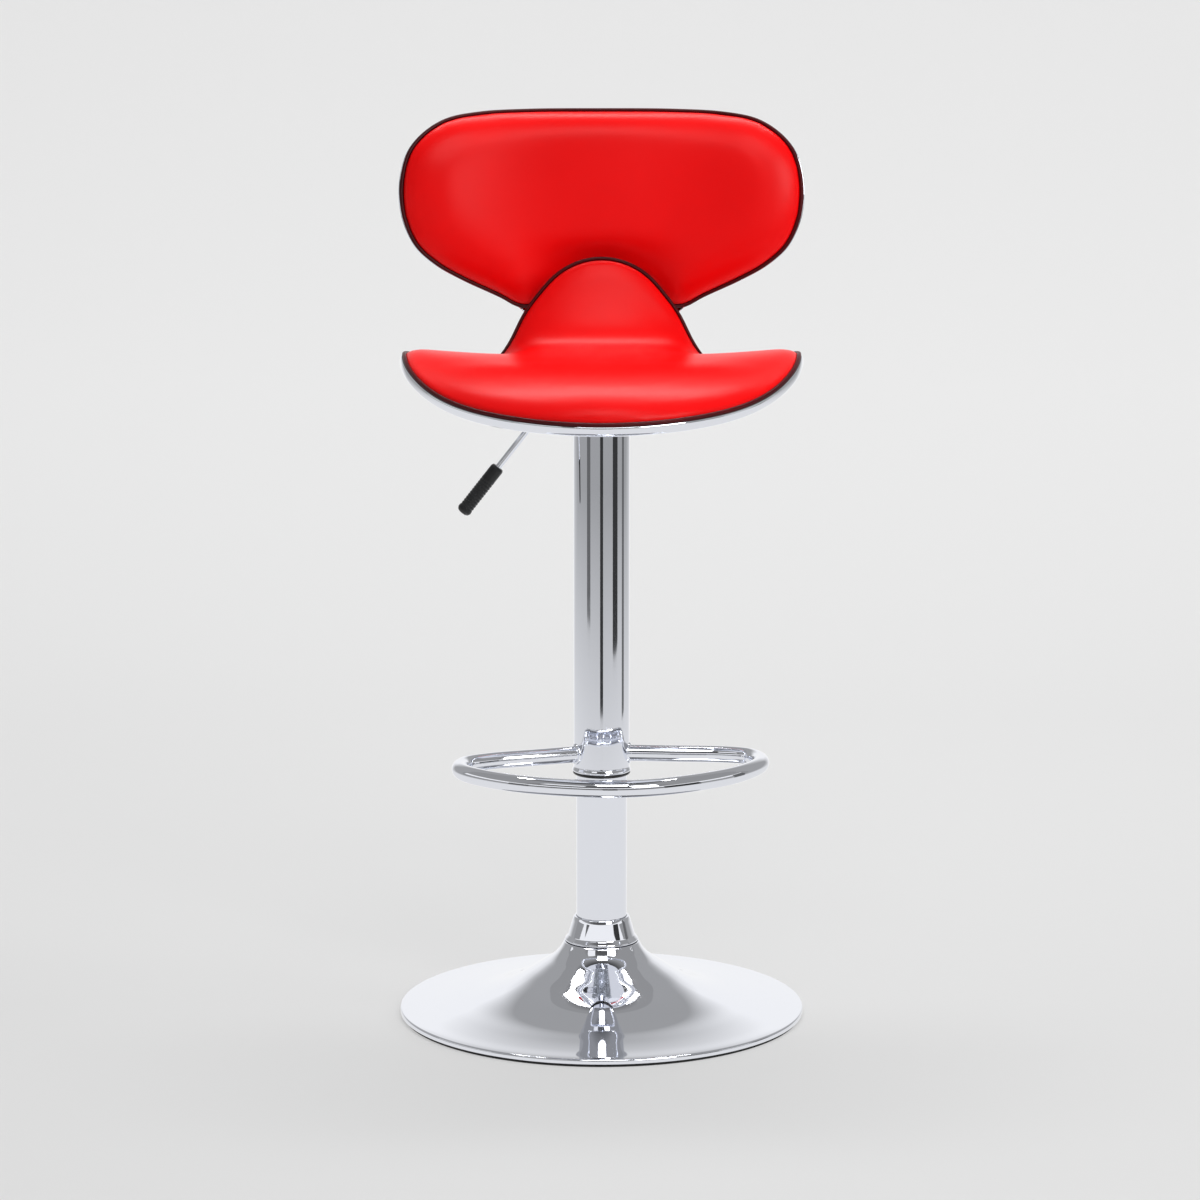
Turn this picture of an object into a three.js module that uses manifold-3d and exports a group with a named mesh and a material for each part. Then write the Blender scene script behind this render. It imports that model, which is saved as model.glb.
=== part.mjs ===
// A counter stool with a saddle seat, a winged back, a footrest and a gas lift.
// Millimetres, +Z up, the front of the stool faces -Y.
// The origin is on the floor, on the axis of the column. The stool is at its lowest.

import * as THREE from 'three';
import { mergeVertices } from 'three/addons/utils/BufferGeometryUtils.js';
import Module from 'manifold-3d';

const wasm = await Module();
wasm.setup();

// Driving dimensions, shared
const gap = 0.3;
const roundSides = 32;
const smallSides = 12;
const cylinderSides = 24;
const holeSides = 8;
const holeClearance = 0.5;

// Base
const baseRadius = 192.5;
const baseWall = 1.5;
const rimHeight = 8;
const neckRadius = 35.5;
const neckHeight = 70;
const rimRound = 4;
const floorRingHeight = 3;
const floorRingWidth = 18;
const basePlateThickness = 2.5;
const basePlateSetback = 1.1;
const baseWeightSetback = 42.5;
const baseWeightThickness = 3.4;
const socketWall = 4.5;
const socketLip = 6;
const socketTopDrop = 2;
const collarHeight = 24;
const collarTopRadius = 26.2;
const collarBottomRadius = 35;
const collarEdge = 3;
const collarSkirt = 2;
const collarRound = 1.2;

// Column and gas lift
const columnRadius = 24;
const columnWall = 1.5;
const columnTop = 500;
const columnPlateHeight = 20;
const columnPlateThickness = 5;
const columnPlateRise = 3.7;
const guideBushLength = 80;
const guideFlangeThickness = 3;
const bearingWasherThickness = 2;
const bearingCageThickness = 5;
const bearingRadius = 13;
const rodRadius = 5;
const rodFootRadius = 4;
const rodFootLength = 12;
const liftStroke = 210;
const pistonLength = 17;
const pistonPinRadius = 3.5;
const pistonClearance = 1;
const rivetThickness = 2;
const clipThickness = 1.2;
const clipRadius = 7;
const bumpStopLength = 15;
const bumpStopRadius = 11;
const cylinderRadius = 14;
const cylinderWall = 2;
const cylinderTopWall = 5;
const taperLength = 27;
const taperNarrowing = 0.8;
const glandLength = 15;
const valveBodyLength = 24;
const valvePinRadius = 3;
const valvePinLength = 25;

// Upper tube and footrest
const upperTubeRadius = 26.5;
const upperTubeWall = 1.3;
const upperTubeBottom = 235;
const flareWidth = 1.3;
const flareHeight = 6;
const tubeCapThickness = 2.5;
const glideFlangeThickness = 2.5;
const glideSpigotLength = 15;
const footrestRise = 17.5;
const footrestTubeRadius = 8;
const footrestYaw = THREE.MathUtils.degToRad(8.4);
const footrestReach = 165;
const footrestHalfWidth = 141;

// Seat mechanism and lever
const wellBottomRadius = 35;
const wellTopRadius = 40;
const wellWall = 2.5;
const wellDepth = 28.2;
const plateHalfX = 62;
const plateHalfY = 54;
const plateThickness = 2.5;
const plateBoltX = 50;
const plateBoltY = 42;
const taperSocketRadius = 20;
const cylinderProud = 6.5;
const leverRise = 15;
const leverRodRadius = 3;
const leverPivotX = -26;
const leverOverPin = 2;
const leverSlotClearance = 1.5;
const leverHubRadius = 5;
const leverSideGap = 1;
const leverSlope = THREE.MathUtils.degToRad(51.8);
const leverBendX = -58.4;
const leverBendReach = 9;
const leverDropLength = 82;
const gripRadius = 7;
const gripLength = 55;
const gripRodDepth = 20;
const pivotPinRadius = 2;
const pinOverhang = 1.5;
const earThickness = 2;
const earHalfWidth = 5;
const earReach = 5;

// Seat
const boardTop = 600;
const seatHalfWidth = 185.5;
const seatFront = 181;
const seatWidestY = -5;
const wingLift = 32;
const wingPower = 2.1;
const wingFlatHalf = 50;
const frontDrop = 16;
const frontDropStart = -60;
const bendStart = 42;
const bendSpread = 17;
const bendSpreadSpan = 60;
const bendRadius = 55;
const tongueAngle = THREE.MathUtils.degToRad(80);
const tongueReach = 188.5;
const tongueHug = 5;
const middleFlatHalf = 40;
const hugSpan = 30;
const seatPanDepth = 13;
const seatPanWall = 1.5;
const seatPadThickness = 30;
const seatPadWingThinning = 0.6;
const seatPadTongueThinning = 0.4;
const seatPadTongueStart = 60;
const seatPadTongueSpan = 80;

// Back
const backHeight = 253.5;
const backHalfWidth = 193.5;
const backMiddleDrop = 88.5;
const backCurve = 28;
const backCurveSpan = 154;
const backSpacerLength = 18;
const backPanDepth = 10.5;
const backPanWall = 1.3;
const backPadThickness = 22;
const backPadThinning = 0.45;
const backPadThinDrop = 117.5;
const backPadThinSpan = 36;

// Edge piping, shared by seat and back
const pipingRadius = 2.5;
const pipingSides = 6;
const rimTop = -2.1;
const boardClear = 0.4;
const boardInset = 8.5;
const padInset = 7;

// Fasteners
const boltRadius = 3;
const boltHeadRadius = 5.5;
const boltHeadThickness = 4;
const teeNutRadius = 4.5;
const teeNutFlangeRadius = 9;
const teeNutFlangeThickness = 1.4;
const teeNutLength = 8;
const teeNutSink = 2.6;
const spacerRadius = 6;
const backBoltX = 24;
const backBoltTipInset = 27.7;
const backBoltRowSpacing = 28;
const backNotchClearance = 17.1;

// Places that follow from these
const backBoltTopRow = tongueReach - bendStart - bendRadius * tongueAngle - backBoltTipInset;
const bendRise = bendRadius * (1 - Math.cos(tongueAngle));
const backNotch = boardTop + bendRise + backBoltTopRow * Math.sin(tongueAngle) + backNotchClearance;
const columnFoot = columnPlateHeight - columnPlateRise;
const bearingBottom = columnPlateHeight + columnPlateThickness + gap;
const bearingHeight = 2 * bearingWasherThickness + bearingCageThickness + 3 * gap;
const rodShoulder = bearingBottom + bearingHeight;
const cylinderBottom = rodShoulder + bumpStopLength + gap;
const pistonBottom = cylinderBottom + gap + glandLength + liftStroke + pistonClearance;
const plateTop = boardTop - seatPanDepth - gap;
const plateBottom = plateTop - plateThickness;
const wellFloor = plateTop - wellDepth;
const cylinderTop = wellFloor + cylinderProud;
const taperStart = cylinderTop - taperLength;
const taperTopRadius = cylinderRadius - taperNarrowing;
const leverHeight = wellFloor + leverRise;
const upperTubeTop = wellFloor - gap;
const footrestHeight = upperTubeBottom + footrestRise;
const backTop = boardTop + backHeight;

// Finishes
const finishes = {
  chrome: { color: 0xd8dadc, roughness: 0.08, metalness: 1 },
  steel: { color: 0x8d9196, roughness: 0.4, metalness: 1 },
  iron: { color: 0x3a3b3d, roughness: 0.7, metalness: 0.6 },
  brass: { color: 0xb39a5a, roughness: 0.35, metalness: 1 },
  rubber: { color: 0x1b1b1c, roughness: 0.9, metalness: 0 },
  blackPlastic: { color: 0x141416, roughness: 0.45, metalness: 0 },
  wood: { color: 0xb98f5c, roughness: 0.8, metalness: 0 },
  redLeather: { color: 0xe0161a, roughness: 0.35, metalness: 0 },
  darkPiping: { color: 0x24080a, roughness: 0.5, metalness: 0 },
};

const stool = new THREE.Group();

// Solids

function closeGeometry(source) {
  const bare = source.clone();
  bare.deleteAttribute('normal');
  bare.deleteAttribute('uv');
  const merged = mergeVertices(bare, 1e-4);
  const corner = merged.index.array;
  const kept = [];
  for (let i = 0; i < corner.length; i += 3) {
    const [a, b, c] = [corner[i], corner[i + 1], corner[i + 2]];
    if (a !== b && b !== c && c !== a) kept.push(a, b, c);
  }
  merged.setIndex(signedVolume(merged, kept) < 0 ? kept.reverse() : kept);
  return merged;
}

function signedVolume(geometry, triangles) {
  const position = geometry.attributes.position;
  const [a, b, c] = [new THREE.Vector3(), new THREE.Vector3(), new THREE.Vector3()];
  let total = 0;
  for (let i = 0; i < triangles.length; i += 3) {
    a.fromBufferAttribute(position, triangles[i]);
    b.fromBufferAttribute(position, triangles[i + 1]);
    c.fromBufferAttribute(position, triangles[i + 2]);
    total += a.dot(b.cross(c)) / 6;
  }
  return total;
}

function toManifold(geometry) {
  const closed = closeGeometry(geometry);
  const vertProperties = new Float32Array(closed.attributes.position.array);
  const triVerts = new Uint32Array(closed.index.array);
  return new wasm.Manifold(new wasm.Mesh({ numProp: 3, vertProperties, triVerts }));
}

function fromManifold(solid) {
  const mesh = solid.getMesh();
  const geometry = new THREE.BufferGeometry();
  geometry.setAttribute('position', new THREE.BufferAttribute(mesh.vertProperties, 3));
  geometry.setIndex(new THREE.BufferAttribute(mesh.triVerts, 1));
  return closeGeometry(geometry);
}

function join(first, ...others) {
  return fromManifold(others.reduce((sum, other) => sum.add(toManifold(other)), toManifold(first)));
}

function cut(body, ...tools) {
  return fromManifold(tools.reduce((rest, tool) => rest.subtract(toManifold(tool)), toManifold(body)));
}

// A turned solid about Z. A profile is a list of [radius, z] and closes on itself or on the axis.
function turned(profile, sides = roundSides) {
  const points = profile.map(([r, z]) => new THREE.Vector2(r, z));
  const onAxis = profile[0][0] === 0 && profile[profile.length - 1][0] === 0;
  if (!onAxis) points.push(points[0].clone());
  const geometry = new THREE.LatheGeometry(points, sides);
  geometry.rotateX(Math.PI / 2);
  return closeGeometry(geometry);
}

function ring(inner, outer, bottom, top, sides = roundSides) {
  return turned([[inner, bottom], [outer, bottom], [outer, top], [inner, top]], sides);
}

function rod(radius, bottom, top, sides = smallSides) {
  return turned([[0, bottom], [radius, bottom], [radius, top], [0, top]], sides);
}

function block(x0, x1, y0, y1, z0, z1) {
  const geometry = new THREE.BoxGeometry(x1 - x0, y1 - y0, z1 - z0);
  geometry.translate((x0 + x1) / 2, (y0 + y1) / 2, (z0 + z1) / 2);
  return closeGeometry(geometry);
}

// A bar of round section along a curve, with flat ends.
function barAlong(curve, radius, sides, steps) {
  const section = new THREE.Shape();
  for (let i = 0; i < sides; i += 1) {
    const angle = (i / sides) * 2 * Math.PI;
    const [x, y] = [radius * Math.cos(angle), radius * Math.sin(angle)];
    if (i === 0) section.moveTo(x, y);
    else section.lineTo(x, y);
  }
  section.closePath();
  const settings = { steps, extrudePath: curve, curveSegments: 1 };
  return closeGeometry(new THREE.ExtrudeGeometry(section, settings));
}

// A line through three points whose middle corner is rounded.
function bentLine(start, corner, end, reach) {
  const before = corner.clone().add(start.clone().sub(corner).setLength(reach));
  const after = corner.clone().add(end.clone().sub(corner).setLength(reach));
  const path = new THREE.CurvePath();
  path.add(new THREE.LineCurve3(start, before));
  path.add(new THREE.QuadraticBezierCurve3(before, corner, after));
  path.add(new THREE.LineCurve3(after, end));
  return path;
}

function add(name, geometry, finish, place) {
  const material = new THREE.MeshStandardMaterial(finishes[finish]);
  const mesh = new THREE.Mesh(geometry, material);
  mesh.name = name;
  if (place) {
    mesh.position.copy(place.position);
    mesh.rotation.x = place.tilt;
  }
  stool.add(mesh);
  return mesh;
}

const smooth = (t) => {
  const c = Math.min(1, Math.max(0, t));
  return c * c * (3 - 2 * c);
};

// Base

// The outer face of the trumpet foot, from its neck to its rim, as shares of its width and height.
function trumpetProfile() {
  const shares = [
    [0, 1],
    [0.029, 0.871],
    [0.073, 0.758],
    [0.124, 0.669],
    [0.194, 0.556],
    [0.283, 0.411],
    [0.398, 0.266],
    [0.551, 0.145],
    [0.729, 0.073],
    [0.889, 0.024],
  ];
  const [width, height] = [baseRadius - neckRadius, neckHeight - rimHeight];
  return [
    ...shares.map(([out, up]) => [neckRadius + out * width, rimHeight + up * height]),
    [baseRadius - rimRound, rimHeight],
    [baseRadius - 0.25 * rimRound, rimHeight - 0.3 * rimRound],
    [baseRadius, rimHeight - 0.8 * rimRound],
    [baseRadius, floorRingHeight + gap],
  ];
}

function addBase() {
  const outer = trumpetProfile();
  const inner = outer.map(([r, z], i) => {
    const [r0, z0] = outer[Math.max(0, i - 1)];
    const [r1, z1] = outer[Math.min(outer.length - 1, i + 1)];
    const length = Math.hypot(r1 - r0, z1 - z0);
    return [r + ((z1 - z0) / length) * baseWall, z - ((r1 - r0) / length) * baseWall];
  });
  inner[0][1] = neckHeight;
  inner[inner.length - 1][1] = floorRingHeight + gap;
  add('base_shell', turned([...outer, ...inner.reverse()]), 'chrome');

  const ringOuter = baseRadius - baseWall - 1;
  add('floor_ring', ring(ringOuter - floorRingWidth, ringOuter, 0, floorRingHeight), 'rubber');

  const plateBottom = floorRingHeight + gap;
  const socketOuter = columnRadius + gap + socketWall;
  const plateHole = socketOuter + gap;
  const plateOuter = baseRadius - baseWall - basePlateSetback;
  const floorPlate = ring(plateHole, plateOuter, plateBottom, plateBottom + basePlateThickness);
  add('base_plate', floorPlate, 'steel');
  const weightBottom = plateBottom + basePlateThickness + gap;
  const weightTop = weightBottom + baseWeightThickness;
  add('base_weight', ring(plateHole, baseRadius - baseWeightSetback, weightBottom, weightTop), 'iron');

  const socketTop = neckHeight - socketTopDrop;
  const stepTop = columnFoot - gap;
  const socket = turned([
    [columnRadius - socketLip, plateBottom],
    [socketOuter, plateBottom],
    [socketOuter, socketTop],
    [columnRadius + gap, socketTop],
    [columnRadius + gap, stepTop],
    [columnRadius - socketLip, stepTop],
  ]);
  add('base_socket', socket, 'steel');

  const collarBottom = neckHeight + gap;
  const collarTop = collarBottom + collarHeight;
  const collar = turned([
    [columnRadius + gap, collarBottom],
    [collarBottomRadius, collarBottom],
    [collarBottomRadius, collarBottom + collarSkirt],
    [collarBottomRadius - collarEdge, collarBottom + collarSkirt + collarEdge],
    [collarTopRadius + collarRound, collarTop - collarEdge],
    [collarTopRadius, collarTop],
    [columnRadius + gap, collarTop],
  ]);
  add('base_collar', collar, 'chrome');
}

// Column, bearing and gas lift

function addColumn() {
  const bore = columnRadius - columnWall;
  add('column_tube', ring(bore, columnRadius, columnFoot, columnTop), 'chrome');

  const innerRadius = bore - gap;
  const footHole = rodFootRadius + gap;
  const footPlateTop = columnPlateHeight + columnPlateThickness;
  const footPlate = ring(footHole, innerRadius, columnPlateHeight, footPlateTop);
  add('column_bottom_plate', footPlate, 'steel');

  const bushBore = cylinderRadius + gap;
  const bush = turned([
    [bushBore, columnTop - guideBushLength],
    [innerRadius, columnTop - guideBushLength],
    [innerRadius, columnTop + gap],
    [columnRadius - gap, columnTop + gap],
    [columnRadius - gap, columnTop + gap + guideFlangeThickness],
    [bushBore, columnTop + gap + guideFlangeThickness],
  ]);
  add('guide_bush', bush, 'blackPlastic');
}

function addBearing() {
  const bore = rodFootRadius + gap;
  let z = bearingBottom;
  const stack = [
    ['bearing_lower_washer', bearingWasherThickness, 'steel'],
    ['bearing_ball_cage', bearingCageThickness, 'brass'],
    ['bearing_upper_washer', bearingWasherThickness, 'steel'],
  ];
  for (const [name, thickness, finish] of stack) {
    add(name, ring(bore, bearingRadius, z, z + thickness, smallSides), finish);
    z += thickness + gap;
  }
}

function addPistonRod() {
  const pistonTop = pistonBottom + pistonLength;
  const rivetTop = pistonTop + rivetThickness;
  const footBottom = columnPlateHeight - rodFootLength;
  const clipTop = columnPlateHeight - gap;
  const clipBottom = clipTop - clipThickness;
  const groove = rodFootRadius - 1;
  const pistonRod = turned([
    [0, footBottom],
    [rodFootRadius, footBottom],
    [rodFootRadius, clipBottom - gap],
    [groove, clipBottom - gap],
    [groove, clipTop + gap / 2],
    [rodFootRadius, clipTop + gap / 2],
    [rodFootRadius, rodShoulder],
    [rodRadius, rodShoulder],
    [rodRadius, pistonBottom],
    [pistonPinRadius, pistonBottom],
    [pistonPinRadius, pistonTop],
    [rodRadius, pistonTop],
    [rodRadius - 1, rivetTop],
    [0, rivetTop],
  ], smallSides);
  add('piston_rod', pistonRod, 'chrome');

  const pistonRadius = cylinderRadius - cylinderWall - gap;
  const pistonBore = pistonPinRadius + gap;
  const piston = ring(pistonBore, pistonRadius, pistonBottom + gap, pistonTop - gap, cylinderSides);
  add('piston', piston, 'blackPlastic');
  add('retaining_clip', ring(groove + gap, clipRadius, clipBottom, clipTop, smallSides), 'steel');
  const bumpTop = rodShoulder + bumpStopLength;
  const bump = ring(rodRadius + gap, bumpStopRadius, rodShoulder, bumpTop, smallSides);
  add('bump_stop', bump, 'rubber');
}

function addCylinder() {
  const bore = cylinderRadius - cylinderWall;
  const pinHole = valvePinRadius + gap;
  const ceiling = cylinderTop - cylinderTopWall;
  const cylinder = turned([
    [bore, cylinderBottom],
    [cylinderRadius, cylinderBottom],
    [cylinderRadius, taperStart],
    [taperTopRadius, cylinderTop],
    [pinHole, cylinderTop],
    [pinHole, ceiling],
    [bore, ceiling],
  ], cylinderSides);
  add('pressure_cylinder', cylinder, 'blackPlastic');

  const packing = bore - gap;
  const glandBottom = cylinderBottom + gap;
  const gland = ring(rodRadius + gap, packing, glandBottom, glandBottom + glandLength, cylinderSides);
  add('rod_gland', gland, 'blackPlastic');
  const valveTop = ceiling - gap;
  const valve = ring(pinHole, packing, valveTop - valveBodyLength, valveTop, cylinderSides);
  add('valve_body', valve, 'brass');

  const pinTop = leverHeight - leverRodRadius - gap;
  add('valve_pin', rod(valvePinRadius, pinTop - valvePinLength, pinTop), 'steel');
}

// Upper tube, glide ring and footrest

function addUpperTube() {
  const bore = upperTubeRadius - upperTubeWall;
  const flareTop = upperTubeBottom + flareHeight;
  const flareRadius = upperTubeRadius + flareWidth;
  const tube = turned([
    [bore, upperTubeBottom],
    [flareRadius - flareWidth / 2, upperTubeBottom],
    [flareRadius, upperTubeBottom + flareHeight / 6],
    [flareRadius - flareWidth / 3, upperTubeBottom + flareHeight / 2],
    [upperTubeRadius, flareTop],
    [upperTubeRadius, upperTubeTop],
    [bore, upperTubeTop],
  ]);
  add('upper_tube', tube, 'chrome');

  const capBore = taperSocketRadius + gap;
  const capBottom = upperTubeTop - tubeCapThickness;
  add('upper_tube_cap', ring(capBore, bore - gap, capBottom, upperTubeTop), 'steel');

  const glideBore = columnRadius + gap;
  const glideTop = upperTubeBottom - gap;
  const glide = turned([
    [glideBore, glideTop - glideFlangeThickness],
    [upperTubeRadius - flareWidth / 2, glideTop - glideFlangeThickness],
    [upperTubeRadius + flareWidth / 2, glideTop - glideFlangeThickness / 2],
    [upperTubeRadius + flareWidth / 2, glideTop],
    [bore - gap, glideTop],
    [bore - gap, glideTop + glideSpigotLength],
    [glideBore, glideTop + glideSpigotLength],
  ]);
  add('glide_ring', glide, 'blackPlastic');
}

// One half of the footrest's centre line in plan, from the column outwards.
function footrestHalf() {
  const [w, d] = [footrestHalfWidth, footrestReach];
  return [
    [upperTubeRadius - 6, -0.03 * d],
    [0.45 * w, -0.09 * d],
    [0.78 * w, -0.155 * d],
    [0.955 * w, -0.24 * d],
    [w, -0.37 * d],
    [0.95 * w, -0.52 * d],
    [0.72 * w, -0.755 * d],
    [0.4 * w, -0.92 * d],
    [0.12 * w, -0.995 * d],
  ];
}

function addFootrest() {
  const right = footrestHalf();
  const left = right.map(([x, y]) => [-x, y]).reverse();
  const turn = new THREE.Matrix4().makeRotationZ(footrestYaw);
  const points = [...right, ...left].map(([x, y]) => {
    const point = new THREE.Vector3(x, y, footrestHeight);
    return point.applyMatrix4(turn);
  });
  const curve = new THREE.CatmullRomCurve3(points, false, 'centripetal');
  const bar = barAlong(curve, footrestTubeRadius, 8, 42);
  const reach = 2 * footrestTubeRadius;
  const clearance = rod(upperTubeRadius + gap, footrestHeight - reach, footrestHeight + reach, roundSides);
  add('footrest_ring', cut(bar, clearance), 'chrome');
}

// Seat plate, taper socket and lever

function addMechanism() {
  const wellFloorTop = wellFloor + wellWall;
  const well = turned([
    [taperSocketRadius + gap, wellFloor],
    [wellBottomRadius, wellFloor],
    [wellTopRadius + wellWall, plateTop],
    [wellTopRadius, plateTop],
    [wellBottomRadius - wellWall, wellFloorTop],
    [taperSocketRadius + gap, wellFloorTop],
  ]);
  const flange = cut(
    block(-plateHalfX, plateHalfX, -plateHalfY, plateHalfY, plateBottom, plateTop),
    rod(wellTopRadius, plateBottom - 1, plateTop + 1, roundSides),
  );
  const slotHalf = leverRodRadius + leverSlotClearance;
  const slotTop = plateBottom - leverSlotClearance;
  const slotInner = leverPivotX - earReach;
  const slot = block(-plateHalfX, slotInner, -slotHalf, slotHalf, leverHeight - slotHalf, slotTop);
  const holes = plateBoltPlaces().map(([x, y]) => {
    const hole = boltHole(plateBottom - 1, plateTop + 1);
    return hole.translate(x, y, 0);
  });
  add('seat_plate', cut(join(well, flange), slot, ...holes), 'steel');

  const socketTop = wellFloorTop + gap;
  const socketTopShare = (socketTop - taperStart) / taperLength;
  const socket = turned([
    [cylinderRadius + gap, taperStart],
    [taperSocketRadius, taperStart],
    [taperSocketRadius, socketTop],
    [cylinderRadius - taperNarrowing * socketTopShare + gap, socketTop],
  ]);
  add('taper_socket', socket, 'steel');
}

function plateBoltPlaces() {
  const places = [];
  for (const x of [-plateBoltX, plateBoltX]) {
    for (const y of [-plateBoltY, plateBoltY]) places.push([x, y]);
  }
  return places;
}

function alongY(geometry, x, z) {
  return geometry.rotateX(Math.PI / 2).translate(x, 0, z);
}

function addLever() {
  const footBottom = wellFloor + wellWall + gap;
  const footTop = footBottom + earThickness;
  const earOuter = earHalfWidth + earThickness;
  const earTop = leverHeight + leverHubRadius;
  const [x0, x1] = [leverPivotX - earReach, leverPivotX + earReach];
  const foot = block(x0, x1, -earOuter, earOuter, footBottom, footTop);
  const leftEar = block(x0, x1, -earOuter, -earHalfWidth, footBottom, earTop);
  const rightEar = block(x0, x1, earHalfWidth, earOuter, footBottom, earTop);
  const pinHalf = earOuter + pinOverhang;
  const across = (radius, half) => alongY(rod(radius, -half, half), leverPivotX, leverHeight);
  add('lever_bracket', cut(join(foot, leftEar, rightEar), across(pivotPinRadius + gap, pinHalf)), 'steel');
  add('lever_pivot_pin', across(pivotPinRadius, pinHalf), 'steel');

  const inner = new THREE.Vector3(valvePinRadius + leverOverPin, 0, leverHeight);
  const corner = new THREE.Vector3(leverBendX, 0, leverHeight);
  const down = new THREE.Vector3(-Math.cos(leverSlope), 0, -Math.sin(leverSlope));
  const outer = corner.clone().addScaledVector(down, leverDropLength);
  const bar = barAlong(bentLine(inner, corner, outer, leverBendReach), leverRodRadius, 8, 16);
  const hub = across(leverHubRadius, earHalfWidth - leverSideGap);
  add('lever_rod', cut(join(bar, hub), across(pivotPinRadius + gap, pinHalf)), 'chrome');

  const gripStart = -gripRodDepth;
  const gripEnd = gripStart + gripLength;
  const bore = leverRodRadius + gap;
  const grip = turned([
    [bore, gripStart],
    [0.75 * gripRadius, gripStart],
    [0.92 * gripRadius, gripStart + 0.03 * gripLength],
    [0.92 * gripRadius, gripStart + 0.25 * gripLength],
    [gripRadius, gripStart + 0.75 * gripLength],
    [gripRadius, gripEnd - 0.07 * gripLength],
    [0.8 * gripRadius, gripEnd - 0.02 * gripLength],
    [0.5 * gripRadius, gripEnd],
    [0, gripEnd],
    [0, gap],
    [bore, gap],
  ], smallSides);
  grip.applyQuaternion(new THREE.Quaternion().setFromUnitVectors(new THREE.Vector3(0, 0, 1), down));
  grip.translate(outer.x, outer.y, outer.z);
  add('lever_grip', grip, 'blackPlastic');
}

// Curved panels. A panel is a surface with an outline, and solids are stacked at heights over it.

// Spaced points of a closed outline that is the same on both sides, from its right half.
function closedOutline(rightHalf, count) {
  const inner = rightHalf.slice(1, -1);
  const left = inner.map(([x, y]) => [-x, y]).reverse();
  const all = [...rightHalf, ...left].map(([x, y]) => new THREE.Vector3(x, y, 0));
  const curve = new THREE.CatmullRomCurve3(all, true, 'centripetal');
  return curve.getSpacedPoints(count).slice(0, count).map((p) => new THREE.Vector2(p.x, p.y));
}

function insetOutline(outline, distance) {
  const count = outline.length;
  return outline.map((point, i) => {
    const before = outline[(i + count - 1) % count];
    const after = outline[(i + 1) % count];
    const along = after.clone().sub(before).normalize();
    return new THREE.Vector2(point.x - along.y * distance, point.y + along.x * distance);
  });
}

// A point at a height over a surface, measured along the surface's normal.
function over(surface, a, b, height) {
  const step = 0.5;
  const du = surface(a + step, b).sub(surface(a - step, b));
  const dv = surface(a, b + step).sub(surface(a, b - step));
  return surface(a, b).addScaledVector(du.cross(dv).normalize(), height);
}

// A closed solid from rings over a surface. The first and last rings have share 0, the centre.
function panelSolid(panel, rings) {
  const { surface, outline, centre } = panel;
  const count = outline.length;
  const vertices = [];
  const starts = [];
  for (const { share, inset, height } of rings) {
    const edge = inset === undefined ? outline : insetOutline(outline, inset);
    const scale = share === undefined ? 1 : share;
    const heightAt = typeof height === 'function' ? height : () => height;
    starts.push(vertices.length);
    const used = scale === 0 ? [centre] : edge;
    for (const point of used) {
      const at = centre.clone().lerp(point, scale);
      vertices.push(over(surface, at.x, at.y, heightAt(at.x, at.y)));
    }
  }
  const order = (r) => (rings[r].share === undefined ? 1000 - rings[r].inset : rings[r].share);
  const faces = [];
  for (let r = 0; r + 1 < rings.length; r += 1) {
    const [a, b] = [starts[r], starts[r + 1]];
    const outward = order(r + 1) >= order(r);
    for (let i = 0; i < count; i += 1) {
      const j = (i + 1) % count;
      if (rings[r].share === 0) faces.push(a, b + i, b + j);
      else if (rings[r + 1].share === 0) faces.push(a + i, b, a + j);
      else if (outward) faces.push(a + i, b + i, b + j, a + i, b + j, a + j);
      else faces.push(a + i, b + i, a + j, a + j, b + i, b + j);
    }
  }
  return geometryFrom(vertices, faces);
}

function geometryFrom(vertices, faces) {
  const geometry = new THREE.BufferGeometry().setFromPoints(vertices);
  geometry.setIndex(faces);
  return closeGeometry(geometry);
}

// The round welt that runs along a panel's edge and closes on itself.
function pipingSolid(panel, inset, height) {
  const { surface, outline } = panel;
  const spine = insetOutline(outline, inset).map((p) => over(surface, p.x, p.y, height));
  const count = spine.length;
  const vertices = [];
  const faces = [];
  spine.forEach((point, i) => {
    const plan = outline[i];
    const along = spine[(i + 1) % count].clone().sub(spine[(i + count - 1) % count]).normalize();
    const up = over(surface, plan.x, plan.y, 1).sub(surface(plan.x, plan.y)).normalize();
    const side = along.clone().cross(up).normalize();
    const lift = side.clone().cross(along);
    for (let k = 0; k < pipingSides; k += 1) {
      const angle = (k / pipingSides) * 2 * Math.PI;
      const offset = side.clone().multiplyScalar(pipingRadius * Math.cos(angle));
      vertices.push(point.clone().add(offset).addScaledVector(lift, pipingRadius * Math.sin(angle)));
      const [a, b] = [i * pipingSides + k, i * pipingSides + ((k + 1) % pipingSides)];
      const shift = i + 1 === count ? -(count - 1) * pipingSides : pipingSides;
      faces.push(a, b, b + shift, a, b + shift, a + shift);
    }
  });
  return geometryFrom(vertices, faces);
}

// Seat

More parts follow.
